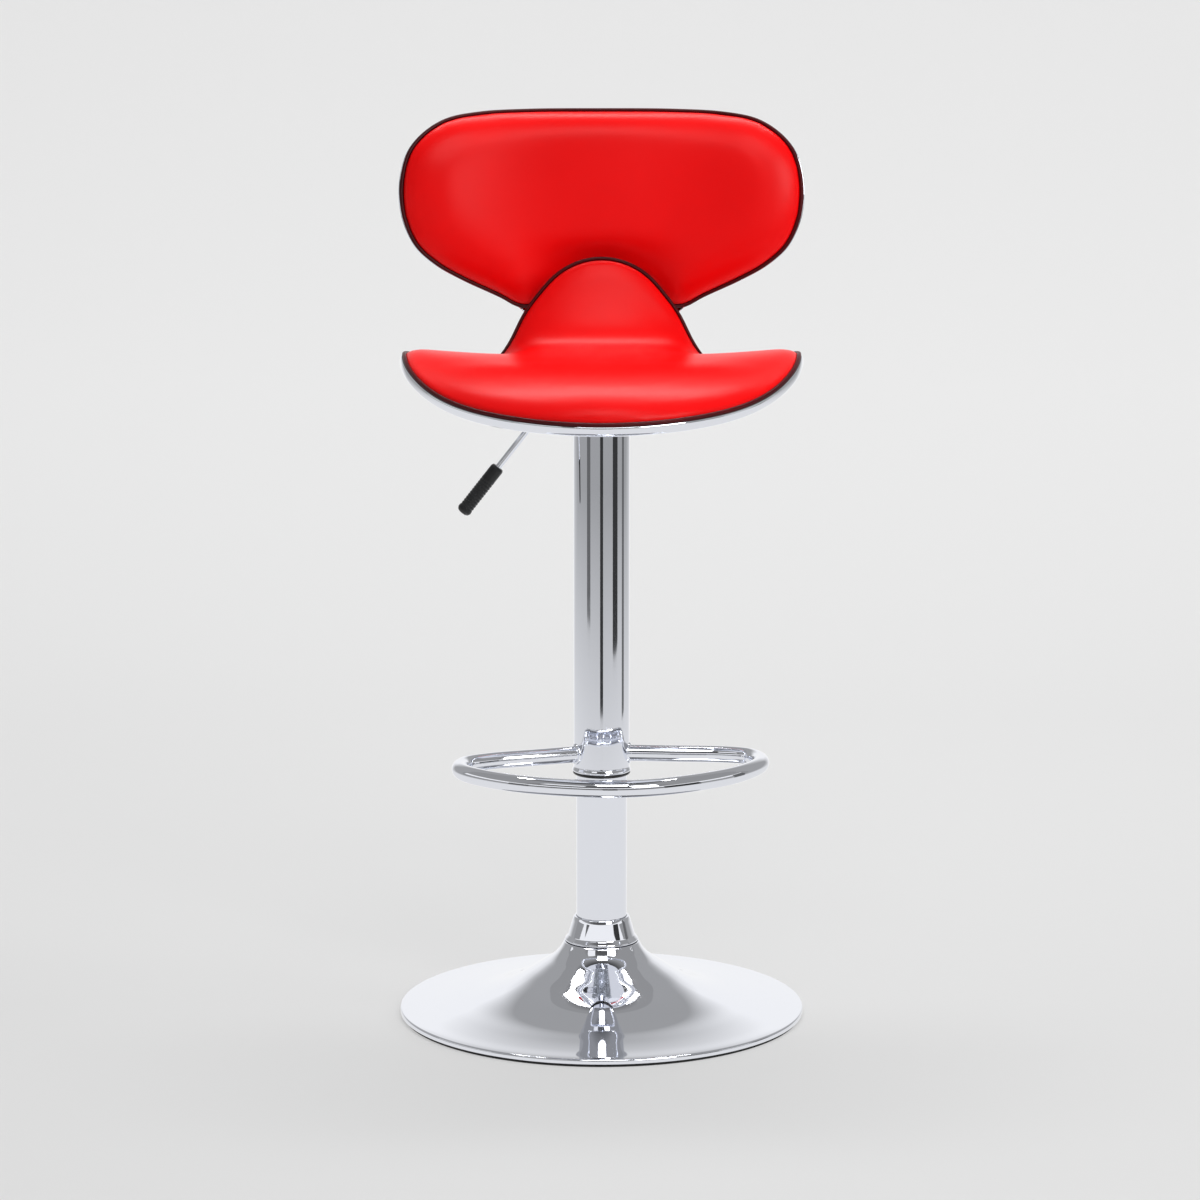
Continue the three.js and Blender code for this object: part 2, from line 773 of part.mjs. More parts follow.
function seatSurface(x, q) {
  const side = Math.max(0, Math.abs(x) - wingFlatHalf);
  const outside = Math.max(0, Math.abs(x) - middleFlatHalf);
  const start = bendStart + bendSpread * (outside / bendSpreadSpan) ** 2;
  const past = Math.max(0, q - start);
  const angle = Math.min(past / bendRadius, tongueAngle);
  const straight = Math.max(0, past - bendRadius * tongueAngle);
  const hug = tongueHug * (outside / hugSpan) ** 2;
  const drop = Math.max(0, frontDropStart - q) / (seatFront + frontDropStart);
  const wing = wingLift * smooth((q + seatFront) / seatFront);
  const wingShare = (side / (seatHalfWidth - wingFlatHalf)) ** wingPower;
  const y = Math.min(q, start) + bendRadius * Math.sin(angle) + straight * Math.cos(tongueAngle);
  const z = boardTop + bendRadius * (1 - Math.cos(angle)) + straight * Math.sin(tongueAngle);
  return new THREE.Vector3(
    x,
    y - hug * smooth(angle / tongueAngle),
    z + wing * wingShare - frontDrop * drop ** 2,
  );
}

// Points of the outline as shares of the half width, behind the widest place and below the tongue's tip.
const seatShoulder = [
  [0.989, 0.097],
  [0.935, 0.216],
  [0.827, 0.323],
  [0.687, 0.41],
  [0.569, 0.507],
  [0.482, 0.62],
];
const seatTip = [
  [0.412, 0.275],
  [0.371, 0.221],
  [0.326, 0.171],
  [0.264, 0.108],
  [0.2, 0.059],
  [0.137, 0.027],
  [0.07, 0.007],
  [0, 0],
];

function seatOutline() {
  const half = [];
  const depth = seatFront + seatWidestY;
  for (const degrees of [-90, -72, -54, -36, -18, 0]) {
    const angle = THREE.MathUtils.degToRad(degrees);
    half.push([seatHalfWidth * Math.cos(angle), seatWidestY + depth * Math.sin(angle)]);
  }
  half[0][0] = 0;
  const w = seatHalfWidth;
  half.push(...seatShoulder.map(([out, back]) => [out * w, back * w]));
  half.push(...seatTip.map(([out, below]) => [out * w, tongueReach - below * w]));
  return half;
}

function padHeight(x, q) {
  const wing = 1 - seatPadWingThinning * (x / seatHalfWidth) ** 2;
  const tongue = 1 - seatPadTongueThinning * smooth((q - seatPadTongueStart) / seatPadTongueSpan);
  return seatPadThickness * wing * tongue;
}

const seatPanel = {
  surface: seatSurface,
  outline: closedOutline(seatOutline(), 38),
  centre: new THREE.Vector2(0, 0),
};

const innerShares = [0.3, 0.5, 0.68, 0.85];

function ringsOut(shares, height) {
  return [{ share: 0, height }, ...shares.map((share) => ({ share, height }))];
}

function ringsIn(shares, height) {
  return ringsOut(shares, height).reverse();
}

// A pressed pan with an upturned edge.
function panSolid(panel, shares, depth, wall) {
  const outer = -depth;
  const inner = wall - depth;
  return panelSolid(panel, [
    ...ringsOut(shares, outer),
    { inset: 7, height: outer },
    { inset: 1, height: outer + 0.4 * depth },
    { inset: 0, height: rimTop },
    { inset: wall, height: rimTop },
    { inset: wall + 1, height: outer + 0.45 * depth },
    { inset: boardInset, height: inner },
    ...ringsIn(shares, inner),
  ]);
}

function boardSolid(panel, shares, bottom, top) {
  return panelSolid(panel, [
    ...ringsOut(shares, bottom),
    { inset: boardInset, height: bottom },
    { inset: boardInset, height: top },
    ...ringsIn(shares, top),
  ]);
}

// A padded cover: drawn in at its welt, rounded over the edge and crowned in the middle.
function padSolid(panel, shares, bottom, fullHeight, crown) {
  const part = (portion) => (a, b) => bottom + portion * fullHeight(a, b);
  return panelSolid(panel, [
    ...ringsOut(shares, bottom),
    { inset: boardInset, height: bottom },
    { inset: padInset, height: bottom },
    ...crown.map(([inset, portion]) => ({ inset, height: part(portion) })),
    ...[...shares].reverse().map((share) => ({ share, height: part(1 - 0.06 * share ** 2) })),
    { share: 0, height: part(1) },
  ]);
}

function addSeat() {
  const boardBottom = seatPanWall - seatPanDepth + boardClear;
  const boardFace = rimTop;
  const holes = [];
  const pockets = [];
  for (const place of [...seatBoltPlaces(), ...tongueBoltPlaces()]) {
    holes.push(placed(boltHole(-seatPanDepth - 2, 0), place));
    pockets.push(placed(teeNutPocket(), place));
  }
  add('seat_pan', cut(panSolid(seatPanel, innerShares, seatPanDepth, seatPanWall), ...holes), 'chrome');
  add('seat_board', cut(boardSolid(seatPanel, innerShares, boardBottom, boardFace), ...pockets), 'wood');
  const crown = [[padInset, 0.26], [padInset + 2.5, 0.5], [padInset + 8, 0.73], [padInset + 18, 0.89]];
  const pad = padSolid(seatPanel, innerShares, boardFace + gap, padHeight, crown);
  add('seat_cushion', pad, 'redLeather');
  add('seat_piping', pipingSolid(seatPanel, pipingRadius + gap, rimTop + pipingRadius + gap), 'darkPiping');
}

// Back. Its plane is parallel to the straight part of the tongue.

const tongueFootY = bendStart + bendRadius * Math.sin(tongueAngle);
const tongueFootZ = boardTop + bendRadius * (1 - Math.cos(tongueAngle));
const backOffset = seatPanDepth + backSpacerLength + 2 * gap;
const backFootY = tongueFootY + backOffset * Math.sin(tongueAngle);
const backFootZ = tongueFootZ - backOffset * Math.cos(tongueAngle);

function backSurface(x, z) {
  const side = Math.max(0, Math.abs(x) - middleFlatHalf) / backCurveSpan;
  const y = backFootY + (z - backFootZ) / Math.tan(tongueAngle) - backCurve * side ** 2;
  return new THREE.Vector3(x, y, z);
}

// The right half of the back's outline, as shares of its half width and of its height over the seat board.
// The shell goes on from the wing's lower corner into the neck, and the padded part into the notch over it,
// which is given as shares of the half width and of the way up from that corner.
const backWing = [
  [0, 0],
  [0.362, 0.002],
  [0.61, 0.012],
  [0.775, 0.037],
  [0.886, 0.089],
  [0.959, 0.156],
  [0.995, 0.249],
  [1, 0.339],
  [0.979, 0.426],
  [0.922, 0.517],
  [0.824, 0.586],
  [0.69, 0.645],
  [0.514, 0.708],
  [0.413, 0.748],
];
const backNeck = [
  [0.389, 0.764],
  [0.326, 0.809],
  [0.274, 0.864],
  [0.212, 0.905],
  [0.103, 0.927],
  [0, 0.931],
];

const backNotchSide = [
  [0.341, 0.01],
  [0.289, 0.32],
  [0.196, 0.77],
  [0, 1],
];

function backPanOutline() {
  return [...backWing, ...backNeck].map(([out, down]) => [out * backHalfWidth, backTop - down * backHeight]);
}

function backPadOutline() {
  const wing = backWing.map(([out, down]) => [out * backHalfWidth, backTop - down * backHeight]);
  const corner = wing[wing.length - 1][1];
  const notch = backNotchSide.map(([out, up]) => [out * backHalfWidth, corner + up * (backNotch - corner)]);
  return [...wing, ...notch];
}

// The padding thins out where it goes down behind the tongue.
function backPadHeight(x, z) {
  const low = smooth((backTop - backPadThinDrop - z) / backPadThinSpan);
  const middle = 1 - smooth((Math.abs(x) - middleFlatHalf) / (2 * hugSpan));
  return backPadThickness * (1 - backPadThinning * low * middle);
}

// The outline runs the other way round, so that the panel's face looks forwards.
function facingPanel(rightHalf, count) {
  return {
    surface: backSurface,
    outline: closedOutline([...rightHalf].reverse(), count),
    centre: new THREE.Vector2(0, backTop - backMiddleDrop),
  };
}

function addBack() {
  const shares = [0.4, 0.7, 0.86];
  const pan = facingPanel(backPanOutline(), 40);
  const pad = facingPanel(backPadOutline(), 40);
  const boardBottom = backPanWall - backPanDepth + boardClear;
  const boardFace = rimTop;
  const deep = -backOffset - backPanDepth - 2;
  const holes = tongueBoltPlaces().map((place) => placed(boltHole(deep, -seatPanDepth), place));
  add('back_shell', cut(panSolid(pan, shares, backPanDepth, backPanWall), ...holes), 'chrome');
  add('back_board', cut(boardSolid(pan, shares, boardBottom, boardFace), ...holes), 'wood');
  const crown = [[padInset, 0.28], [padInset + 1.5, 0.52], [padInset + 4.5, 0.74]];
  const cushion = padSolid(pad, shares, boardFace + gap, backPadHeight, crown);
  add('back_cushion', cushion, 'redLeather');
  add('back_piping', pipingSolid(pad, pipingRadius + gap, rimTop + pipingRadius + gap), 'darkPiping');
}

// Fasteners. Each place holds a point on the board's face and a tilt about X.

function seatBoltPlaces() {
  return plateBoltPlaces().map(([x, y]) => ({ position: new THREE.Vector3(x, y, boardTop), tilt: 0 }));
}

function tongueBoltPlaces() {
  const places = [];
  const lowest = backBoltTopRow % backBoltRowSpacing;
  for (let up = lowest; up < backBoltTopRow + gap; up += backBoltRowSpacing) {
    for (const x of [-backBoltX, backBoltX]) {
      const y = tongueFootY + up * Math.cos(tongueAngle);
      const z = tongueFootZ + up * Math.sin(tongueAngle);
      places.push({ position: new THREE.Vector3(x, y, z), tilt: tongueAngle });
    }
  }
  return places;
}

function placed(geometry, place) {
  return geometry.rotateX(place.tilt).translate(place.position.x, place.position.y, place.position.z);
}

function boltHole(bottom, top) {
  return rod(boltRadius + holeClearance, bottom, top, holeSides);
}

function teeNutPocket() {
  const flangeBottom = -teeNutSink - teeNutFlangeThickness - gap;
  return turned([
    [0, -seatPanDepth - 2],
    [teeNutRadius + gap, -seatPanDepth - 2],
    [teeNutRadius + gap, flangeBottom],
    [teeNutFlangeRadius + gap, flangeBottom],
    [teeNutFlangeRadius + gap, 3],
    [0, 3],
  ], holeSides);
}

function teeNut() {
  const bottom = -teeNutSink - teeNutLength;
  const flangeBottom = -teeNutSink - teeNutFlangeThickness;
  return turned([
    [boltRadius + holeClearance, bottom],
    [teeNutRadius, bottom],
    [teeNutRadius, flangeBottom],
    [teeNutFlangeRadius, flangeBottom],
    [teeNutFlangeRadius, -teeNutSink],
    [boltRadius + holeClearance, -teeNutSink],
  ], holeSides);
}

function bolt(headTop) {
  const headBottom = headTop - boltHeadThickness;
  return turned([
    [0, headBottom],
    [boltHeadRadius - 2.4, headBottom],
    [boltHeadRadius - 0.6, headBottom + 1.4],
    [boltHeadRadius, headTop],
    [boltRadius, headTop],
    [boltRadius, -teeNutSink - 1],
    [0, -teeNutSink - 1],
  ], smallSides);
}

function addFasteners() {
  const seatHeadTop = -seatPanDepth - plateThickness - 2 * gap;
  seatBoltPlaces().forEach((place, i) => {
    add(`seat_bolt_${i + 1}`, bolt(seatHeadTop), 'steel', place);
    add(`seat_tee_nut_${i + 1}`, teeNut(), 'steel', place);
  });
  const backHeadTop = -backOffset - backPanDepth - gap;
  const boardFace = rimTop - backOffset;
  tongueBoltPlaces().forEach((place, i) => {
    add(`back_bolt_${i + 1}`, bolt(backHeadTop), 'chrome', place);
    add(`back_tee_nut_${i + 1}`, teeNut(), 'steel', place);
    const spacer = ring(boltRadius + gap, spacerRadius, boardFace + gap, -seatPanDepth - gap, smallSides);
    add(`back_spacer_${i + 1}`, spacer, 'chrome', place);
  });
}

addBase();
addColumn();
addBearing();
addPistonRod();
addCylinder();
addUpperTube();
addFootrest();
addMechanism();
addLever();
addSeat();
addBack();
addFasteners();

export default stool;
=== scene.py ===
# %% [markdown]
# # A counter stool, dressed piece by piece
# The construction comes in as fixed solids, in metres, with the origin on the floor under the column.
# They are faceted, so what shines is modelled again here in finer steps on the same sizes, and every
# piece gets a finish. Sizes are written in millimetres, as on a workshop drawing.

# %% Load the construction
from math import asin, atan2, cos, pi, radians, sin, sqrt, tan

import bmesh
import bpy
from mathutils import Matrix, Vector
from mathutils.kdtree import KDTree
import numpy as np


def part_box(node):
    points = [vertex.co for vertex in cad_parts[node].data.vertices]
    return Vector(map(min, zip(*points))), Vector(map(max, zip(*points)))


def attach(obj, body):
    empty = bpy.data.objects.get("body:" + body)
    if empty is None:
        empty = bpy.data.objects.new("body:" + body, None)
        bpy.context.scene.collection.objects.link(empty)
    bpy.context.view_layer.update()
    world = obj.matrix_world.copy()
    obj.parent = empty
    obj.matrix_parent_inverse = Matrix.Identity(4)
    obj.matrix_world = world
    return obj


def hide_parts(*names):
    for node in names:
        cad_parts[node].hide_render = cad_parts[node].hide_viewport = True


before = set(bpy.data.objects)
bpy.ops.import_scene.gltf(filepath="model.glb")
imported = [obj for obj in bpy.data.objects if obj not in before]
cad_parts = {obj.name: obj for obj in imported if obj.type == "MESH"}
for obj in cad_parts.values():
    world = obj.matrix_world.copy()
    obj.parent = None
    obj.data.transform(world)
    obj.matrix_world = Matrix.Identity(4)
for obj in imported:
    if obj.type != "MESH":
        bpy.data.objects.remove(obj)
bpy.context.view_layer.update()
scene = bpy.context.scene
MM = 0.001


def shown(name, data):
    """Makes an object of its data and puts it into the scene."""
    made = bpy.data.objects.new(name, data)
    scene.collection.objects.link(made)
    return made


def aimed(made, place, aim):
    """Puts a camera or a lamp at a place and turns it to a point."""
    made.location = place
    made.rotation_euler = (Vector(aim) - Vector(place)).to_track_quat("-Z", "Y").to_euler()


# %% [markdown]
# The photograph was taken from 3.4 m away, a little above the seat and looking 9 degrees down, with a long
# lens. The camera comes first, because everything after it is judged through it.

# %% Camera
CAMERA_PLACE = Vector((-1.5, -3370.0, 945.0)) * MM
CAMERA_AIM = Vector((-1.5, 0.0, 398.7)) * MM
LENS = 108.8
SENSOR_WIDTH = 36.0

lens = bpy.data.cameras.new("camera")
lens.lens = LENS
lens.sensor_width = SENSOR_WIDTH
camera = shown("camera", lens)
aimed(camera, CAMERA_PLACE, CAMERA_AIM)
scene.camera = camera
scene.view_settings.view_transform = "Standard"
print("camera at", [round(v, 3) for v in camera.location])

# %% [markdown]
# A finish is a small graph of shader nodes. Written as sums, it reads like the idea behind it: a signal is
# one socket, and adding or multiplying signals adds the Math nodes.

# %% Helpers for finishes
NOISE_LOW, NOISE_HIGH = 0.3, 0.7


class Signal:
    """One socket of a graph, which can be used in sums."""

    def __init__(self, graph, socket):
        self.graph = graph
        self.socket = socket

    def join(self, operation, first, second):
        return self.graph.node("Math", {0: first, 1: second}, operation=operation)

    def __add__(self, other):
        return self.join("ADD", self, other)

    __radd__ = __add__

    def __sub__(self, other):
        return self.join("SUBTRACT", self, other)

    def __rsub__(self, other):
        return self.join("SUBTRACT", other, self)

    def __mul__(self, other):
        return self.join("MULTIPLY", self, other)

    __rmul__ = __mul__


class Graph:
    """The nodes of a material or of the world."""

    def __init__(self, tree):
        self.tree = tree

    def node(self, kind, inputs=None, output=0, **settings):
        made = self.tree.nodes.new("ShaderNode" + kind)
        for name, value in settings.items():
            setattr(made, name, value)
        for socket, value in (inputs or {}).items():
            if isinstance(value, Signal):
                self.tree.links.new(value.socket, made.inputs[socket])
            else:
                made.inputs[socket].default_value = value
        return Signal(self, made.outputs[output])

    def place(self):
        return self.node("TexCoord", output="Object")

    def axis(self, vector, name):
        return self.node("SeparateXYZ", {"Vector": vector}, name)

    def vector(self, operation, first, second=(0, 0, 0), output=0):
        return self.node("VectorMath", {0: first, 1: second}, output, operation=operation)

    def ray(self, kind):
        return self.node("LightPath", output=kind)

    def stretched(self, scale):
        return self.node("Mapping", {"Vector": self.place(), "Scale": scale})

    def noise(self, scale, detail=2.0, vector=None):
        return self.node("TexNoise", {"Scale": scale, "Detail": detail, "Vector": vector or self.place()})

    def spread(self, signal, low, high, new_low=0.0, new_high=1.0):
        inputs = {"Value": signal, "From Min": low, "From Max": high, "To Min": new_low, "To Max": new_high}
        return self.node("MapRange", inputs, clamp=True)

    def mixed(self, share, first, second):
        return self.node("Mix", {0: share, 6: first, 7: second}, 2, data_type="RGBA")


class Finish(Graph):
    """A material whose main shader is set by name."""

    def __init__(self, name, **constants):
        self.material = bpy.data.materials.new(name)
        self.material.use_nodes = True
        super().__init__(self.material.node_tree)
        self.surface = self.tree.nodes["Principled BSDF"]
        for socket, value in constants.items():
            self.surface.inputs[socket.replace("_", " ")].default_value = value

    def feeds(self, socket, signal):
        self.tree.links.new(signal.socket, self.surface.inputs[socket])

    def roughens(self, noise, smooth, coarse):
        """Lets a noise set the roughness. Most of it lies between the noise's two usual values."""
        self.feeds("Roughness", self.spread(noise, NOISE_LOW, NOISE_HIGH, smooth, coarse))

    def bumps(self, height, strength):
        self.feeds("Normal", self.node("Bump", {"Height": height, "Distance": 1.0, "Strength": strength}))

    def shows(self, shader):
        """Puts another shader on the surface than the main one."""
        self.tree.links.new(shader.socket, self.tree.nodes["Material Output"].inputs["Surface"])


def tone(*chart):
    """A paint chart's colour, from 0 to 255, as the linear values that a shader works in."""
    parts = [v / 255 for v in chart]
    return (*[v / 12.92 if v <= 0.04045 else ((v + 0.055) / 1.055) ** 2.4 for v in parts], 1.0)


print("white is", tone(255, 255, 255)[:3])

# %% [markdown]
# The stage is a pale sweep: one sheet that lies flat under the stool and curves up behind it, so that no
# horizon shows. Chrome has no colour of its own and shows the room instead, so the room matters as much as
# the lamps. What only the chrome sees is made of cards that nothing but glossy rays can meet.

# %% Helpers for meshes
def painted(mesh, finish):
    mesh.materials.clear()
    mesh.materials.append(finish.material)
    return mesh


def linked(name, bm, finish):
    """Writes a bmesh to a new object with one finish."""
    mesh = bpy.data.meshes.new(name)
    bm.to_mesh(mesh)
    bm.free()
    return shown(name, painted(mesh, finish))


# %% Floor and sweep
SWEEP_HALF = 9.0
SWEEP_START = 1.5
SWEEP_RADIUS = 2.0
SWEEP_STEPS = 32
WALL_HEIGHT = 4.0
# The sweep is one sheet, so the step in its colour is painted: darker on the floor as painted shade, lighter
# up the wall as painted light.
SHADED_FLOOR_TONE = tone(224, 224, 224)
LIT_WALL_TONE = tone(236, 236, 236)
TONE_DEPTH = (-0.3, 2.4)
EVEN_SHARE = 0.65
EVEN_DEPTH = (0.0, 2.6)
EVEN_GLOW = (0.70, 0.945)
OUTER_GLOW = 0.84
OUTER_FRONT = (-2.8, -0.8)
OUTER_SIDE = (1.3, 3.2)
FLOOR_DISTANCE = (1.3, 4.2)
FLOOR_IN_CHROME = (0.8, 0.37)
WALL_HEADING = (0.8, 0.95)
WALL_STEEPNESS = (0.36, 0.58)
WALL_IN_CHROME = (0.96, 0.36)

angles = [step / SWEEP_STEPS * pi / 2 for step in range(SWEEP_STEPS + 1)]
curl = [(SWEEP_START + SWEEP_RADIUS * sin(angle), SWEEP_RADIUS * (1 - cos(angle))) for angle in angles]
side = [(-SWEEP_HALF, 0), *curl, (SWEEP_START + SWEEP_RADIUS, SWEEP_RADIUS + WALL_HEIGHT)]
bm = bmesh.new()
verts = [bm.verts.new((-SWEEP_HALF, y, z)) for y, z in side]
edges = [bm.edges.new(pair) for pair in zip(verts, verts[1:])]
drawn = bmesh.ops.extrude_edge_only(bm, edges=edges)
far = [item for item in drawn["geom"] if isinstance(item, bmesh.types.BMVert)]
bmesh.ops.translate(bm, vec=(2 * SWEEP_HALF, 0, 0), verts=far)
bmesh.ops.recalc_face_normals(bm, faces=bm.faces)

paper = Finish("sweep_paper", Roughness=0.9, Specular_IOR_Level=0.1)
spot = paper.place()
across, along = paper.axis(spot, "X"), paper.axis(spot, "Y")
paper.feeds("Base Color", paper.mixed(paper.spread(along, *TONE_DEPTH), SHADED_FLOOR_TONE, LIT_WALL_TONE))

heading = paper.vector("NORMALIZE", paper.vector("MULTIPLY", spot, (1, 1, 0)))
behind = paper.spread(paper.axis(heading, "Y"), *WALL_HEADING)
steepness = paper.axis(paper.vector("NORMALIZE", spot), "Z")
wall_glow = paper.spread(steepness, *WALL_STEEPNESS, *WALL_IN_CHROME)
distance = paper.vector("LENGTH", spot, output="Value")
floor_glow = paper.spread(distance, *FLOOR_DISTANCE, *FLOOR_IN_CHROME)
mirrored = behind * wall_glow + (1 - behind) * floor_glow

# What the camera sees of the sweep is mostly a painted glow: painted light that is dimmest on the floor round
# the stool and grows towards the wall, the front and the sides. The lit paper is mixed in, so the stool's
# shadow stays.
before = paper.spread(along, *OUTER_FRONT, 1.0, 0.0)
beside = paper.spread(across.join("ABSOLUTE", across, 0), *OUTER_SIDE)
outer = before.join("MAXIMUM", before, beside)
painted_glow = outer * OUTER_GLOW + (1 - outer) * paper.spread(along, *EVEN_DEPTH, *EVEN_GLOW)
glossy, plain = paper.ray("Is Glossy Ray"), paper.ray("Is Camera Ray")
shine = paper.node("Emission", {"Strength": glossy * mirrored + (1 - glossy) * painted_glow})
share = glossy + plain * (EVEN_SHARE + (1 - EVEN_SHARE) * outer)
lit = Signal(paper, paper.surface.outputs[0])
paper.shows(paper.node("MixShader", {0: share, 1: lit, 2: shine}))
sweep = linked("sweep", bm, paper)
sweep.data.shade_smooth()
print("sweep faces:", len(sweep.data.polygons))

# %% Cards that only the chrome sees
GLOWS = {"dark": 0.04, "dusky": 0.14, "bright": 0.95}
# Middle and width in degrees from the camera's side, distance, height and lift in metres, steps, glow.
CARDS = {
    "card_camera": (0, 12, 2.2, 0.66, 0.0, 1, "dark"),
    "card_left": (-54, 15, 2.9, 0.9, 0.0, 1, "dusky"),
    "card_right": (57, 22, 2.6, 0.9, 0.0, 1, "dark"),
    "card_far_right": (97, 12, 1.9, 0.8, 0.0, 1, "dusky"),
    "card_window_left": (-33, 24, 2.9, 0.95, 2.15, 1, "bright"),
    "card_band": (0, 210, 3.2904, 0.6, 0.8, 24, "bright"),
}

paints = {}
for name, strength in GLOWS.items():
    paints[name] = Finish(f"card_{name}")
    paints[name].shows(paints[name].node("Emission", {"Strength": strength}))
for name, (middle, width, distance, height, lift, steps, glow) in CARDS.items():
    bm = bmesh.new()
    corner = -distance / cos(radians(width / steps / 2))
    line = [bm.edges.new([bm.verts.new((0, corner, z)) for z in (lift, lift + height)])]
    turn = Matrix.Rotation(radians(middle - width / 2), 3, "Z")
    bmesh.ops.rotate(bm, cent=(0, 0, 0), matrix=turn, verts=bm.verts)
    bmesh.ops.spin(
        bm, geom=line + list(line[0].verts), cent=(0, 0, 0), axis=(0, 0, 1), angle=radians(width), steps=steps
    )
    card = linked(name, bm, paints[glow])
    for ray in ("camera", "diffuse", "transmission", "shadow"):
        setattr(card, f"visible_{ray}", False)
print("cards:", list(CARDS))

# %% World and lamps
FRONT_IN_CHROME = 0.10
SIDES_IN_CHROME = 0.31
FRONT_EDGE = (-0.75, -0.45)
OVERHEAD_SHARE = 0.1
OVERHEAD_EDGE = (0.88, 0.97)
AMBIENT = 0.28
LAMP_AIM = (0, 0, 0.6)
# Place, width and height in metres, and power in watts.
LAMPS = {
    "window_lamp": ((1.5, -2.35, 2.05), 1.2, 1.2, 33),
    "front_lamp": ((0.1, -2.0, 3.1), 1.3, 1.15, 22),
    "side_lamp": ((3.1, -0.65, 1.6), 1.2, 1.2, 28),
    "top_lamp": ((0.0, 0.7, 2.6), 2.0, 0.4, 36),
}

world = bpy.data.worlds.new("room")
world.use_nodes = True
scene.world = world
room = Graph(world.node_tree)
direction = room.node("TexCoord", output="Generated")
sides = room.spread(room.axis(direction, "Y"), *FRONT_EDGE, FRONT_IN_CHROME, SIDES_IN_CHROME)
in_chrome = sides * room.spread(room.axis(direction, "Z"), *OVERHEAD_EDGE, 1.0, OVERHEAD_SHARE)
glossy, plain = room.ray("Is Glossy Ray"), room.ray("Is Camera Ray")
strength = glossy * in_chrome + plain * LIT_WALL_TONE[0] + (1 - glossy - plain) * AMBIENT
background = world.node_tree.nodes["Background"]
background.inputs["Color"].default_value = (1, 1, 1, 1)
world.node_tree.links.new(strength.socket, background.inputs["Strength"])

for name, (place, width, height, power) in LAMPS.items():
    light = bpy.data.lights.new(name, "AREA")
    light.shape = "RECTANGLE"
    light.size = width
    light.size_y = height
    light.energy = power
    aimed(shown(name, light), place, LAMP_AIM)
scene.objects["side_lamp"].visible_glossy = False
print("lamps:", list(LAMPS))

# %% [markdown]
# Bright chrome plate is a mirror that is nearly as light as what it shows. What makes it look plated and not
# computed is small: polishing leaves patches that are a little less sharp, and handling leaves a faint haze.

# %% Chrome
chrome = Finish("bright_chrome", Base_Color=(0.87, 0.888, 0.945, 1), Metallic=1.0)
haze = chrome.spread(chrome.noise(9.0, 4.0), NOISE_LOW, NOISE_HIGH, 0.02, 0.05)
smudges = chrome.spread(chrome.noise(55.0, 3.0), 0.55, 0.75)
chrome.feeds("Roughness", haze + 0.03 * smudges)
print("chrome nodes:", len(chrome.tree.nodes))

# %% [markdown]
# The covers are glossy red leatherette: a dyed film with a fine pressed grain over knitted cloth. From a step
# away the grain only softens the highlights, and the stretch over the foam adds slow, shallow waves.

# %% Leatherette and welt
RED_DEEP = tone(230, 2, 4)
RED_BRIGHT = tone(238, 3, 6)


def make_leatherette(name, deep, light, roughness, waves):
    finish = Finish(name, Coat_Weight=0.04, Coat_Roughness=0.3, Specular_IOR_Level=0.13)
    patches = finish.noise(6.0, 3.0)
    grain = finish.node("TexVoronoi", {"Vector": finish.place(), "Scale": 1300.0})
    pores = finish.noise(420.0, 3.0)
    slow = finish.noise(13.0, 1.0)
    finish.feeds("Base Color", finish.mixed(finish.spread(patches, 0.35, 0.65), deep, light))
    finish.roughens(patches, roughness - 0.03, roughness + 0.04)
    finish.bumps(slow * waves + grain * 0.00003 + pores * 0.00003, 0.7)
    return finish


leatherette = make_leatherette("red_leatherette", RED_DEEP, RED_BRIGHT, 0.34, 0.0004)
welt_leather = make_leatherette("dark_welt", tone(58, 4, 10), tone(78, 8, 14), 0.36, 0.0)
print("leatherette nodes:", len(leatherette.tree.nodes))

# %% [markdown]
# The rest of the stool is workshop stuff: black moulded plastic, zinc-plated steel with a drawn grain, brass,
# rough iron, rubber, baked black paint and moulded ply. Each gets the one or two marks that give it away.

# %% Workshop finishes
def make_metal(name, light, dark, roughness, stretch):
    finish = Finish(name, Metallic=1.0)
    grain = finish.noise(1.0, 3.0, finish.stretched(stretch))
    cloud = finish.noise(18.0, 4.0)
    finish.feeds("Base Color", finish.mixed(finish.spread(cloud, 0.35, 0.7), light, dark))
    finish.roughens(grain, roughness - 0.08, roughness + 0.08)
    finish.bumps(grain * 0.00003, 0.5)
    return finish


zinc = make_metal("zinc_plate", tone(186, 190, 196), tone(150, 154, 160), 0.36, (40.0, 900.0, 900.0))
brass = make_metal("plain_brass", tone(214, 182, 110), tone(176, 140, 74), 0.34, (60.0, 60.0, 900.0))

plastic = Finish("black_plastic", Base_Color=tone(20, 20, 22), Specular_IOR_Level=0.5)
plastic.roughens(plastic.noise(30.0), 0.28, 0.4)
plastic.bumps(plastic.noise(1500.0) * 0.00004, 0.5)

rubber = Finish("black_rubber", Base_Color=tone(26, 26, 26))
rubber.roughens(rubber.noise(80.0, 4.0), 0.7, 0.92)
rubber.bumps(rubber.noise(700.0) * 0.0001, 0.6)

iron = Finish("rough_iron", Base_Color=tone(58, 58, 60), Metallic=0.6)
lumps = iron.noise(160.0, 5.0)
iron.roughens(lumps, 0.55, 0.8)
iron.bumps(lumps * 0.0004, 0.8)

paint = Finish("baked_paint", Base_Color=tone(18, 18, 19), Coat_Weight=0.3)
paint.roughens(paint.noise(25.0), 0.28, 0.42)
paint.bumps(paint.noise(260.0, 1.0) * 0.00006, 0.5)

ply = Finish("moulded_ply")
grain = ply.noise(1.0, 5.0, ply.stretched((8.0, 160.0, 160.0)))
pale, brown = tone(206, 168, 118), tone(150, 108, 66)
ply.feeds("Base Color", ply.mixed(ply.spread(grain, 0.35, 0.68), pale, brown))
ply.roughens(grain, 0.55, 0.7)
ply.bumps(grain * 0.0002, 0.5)

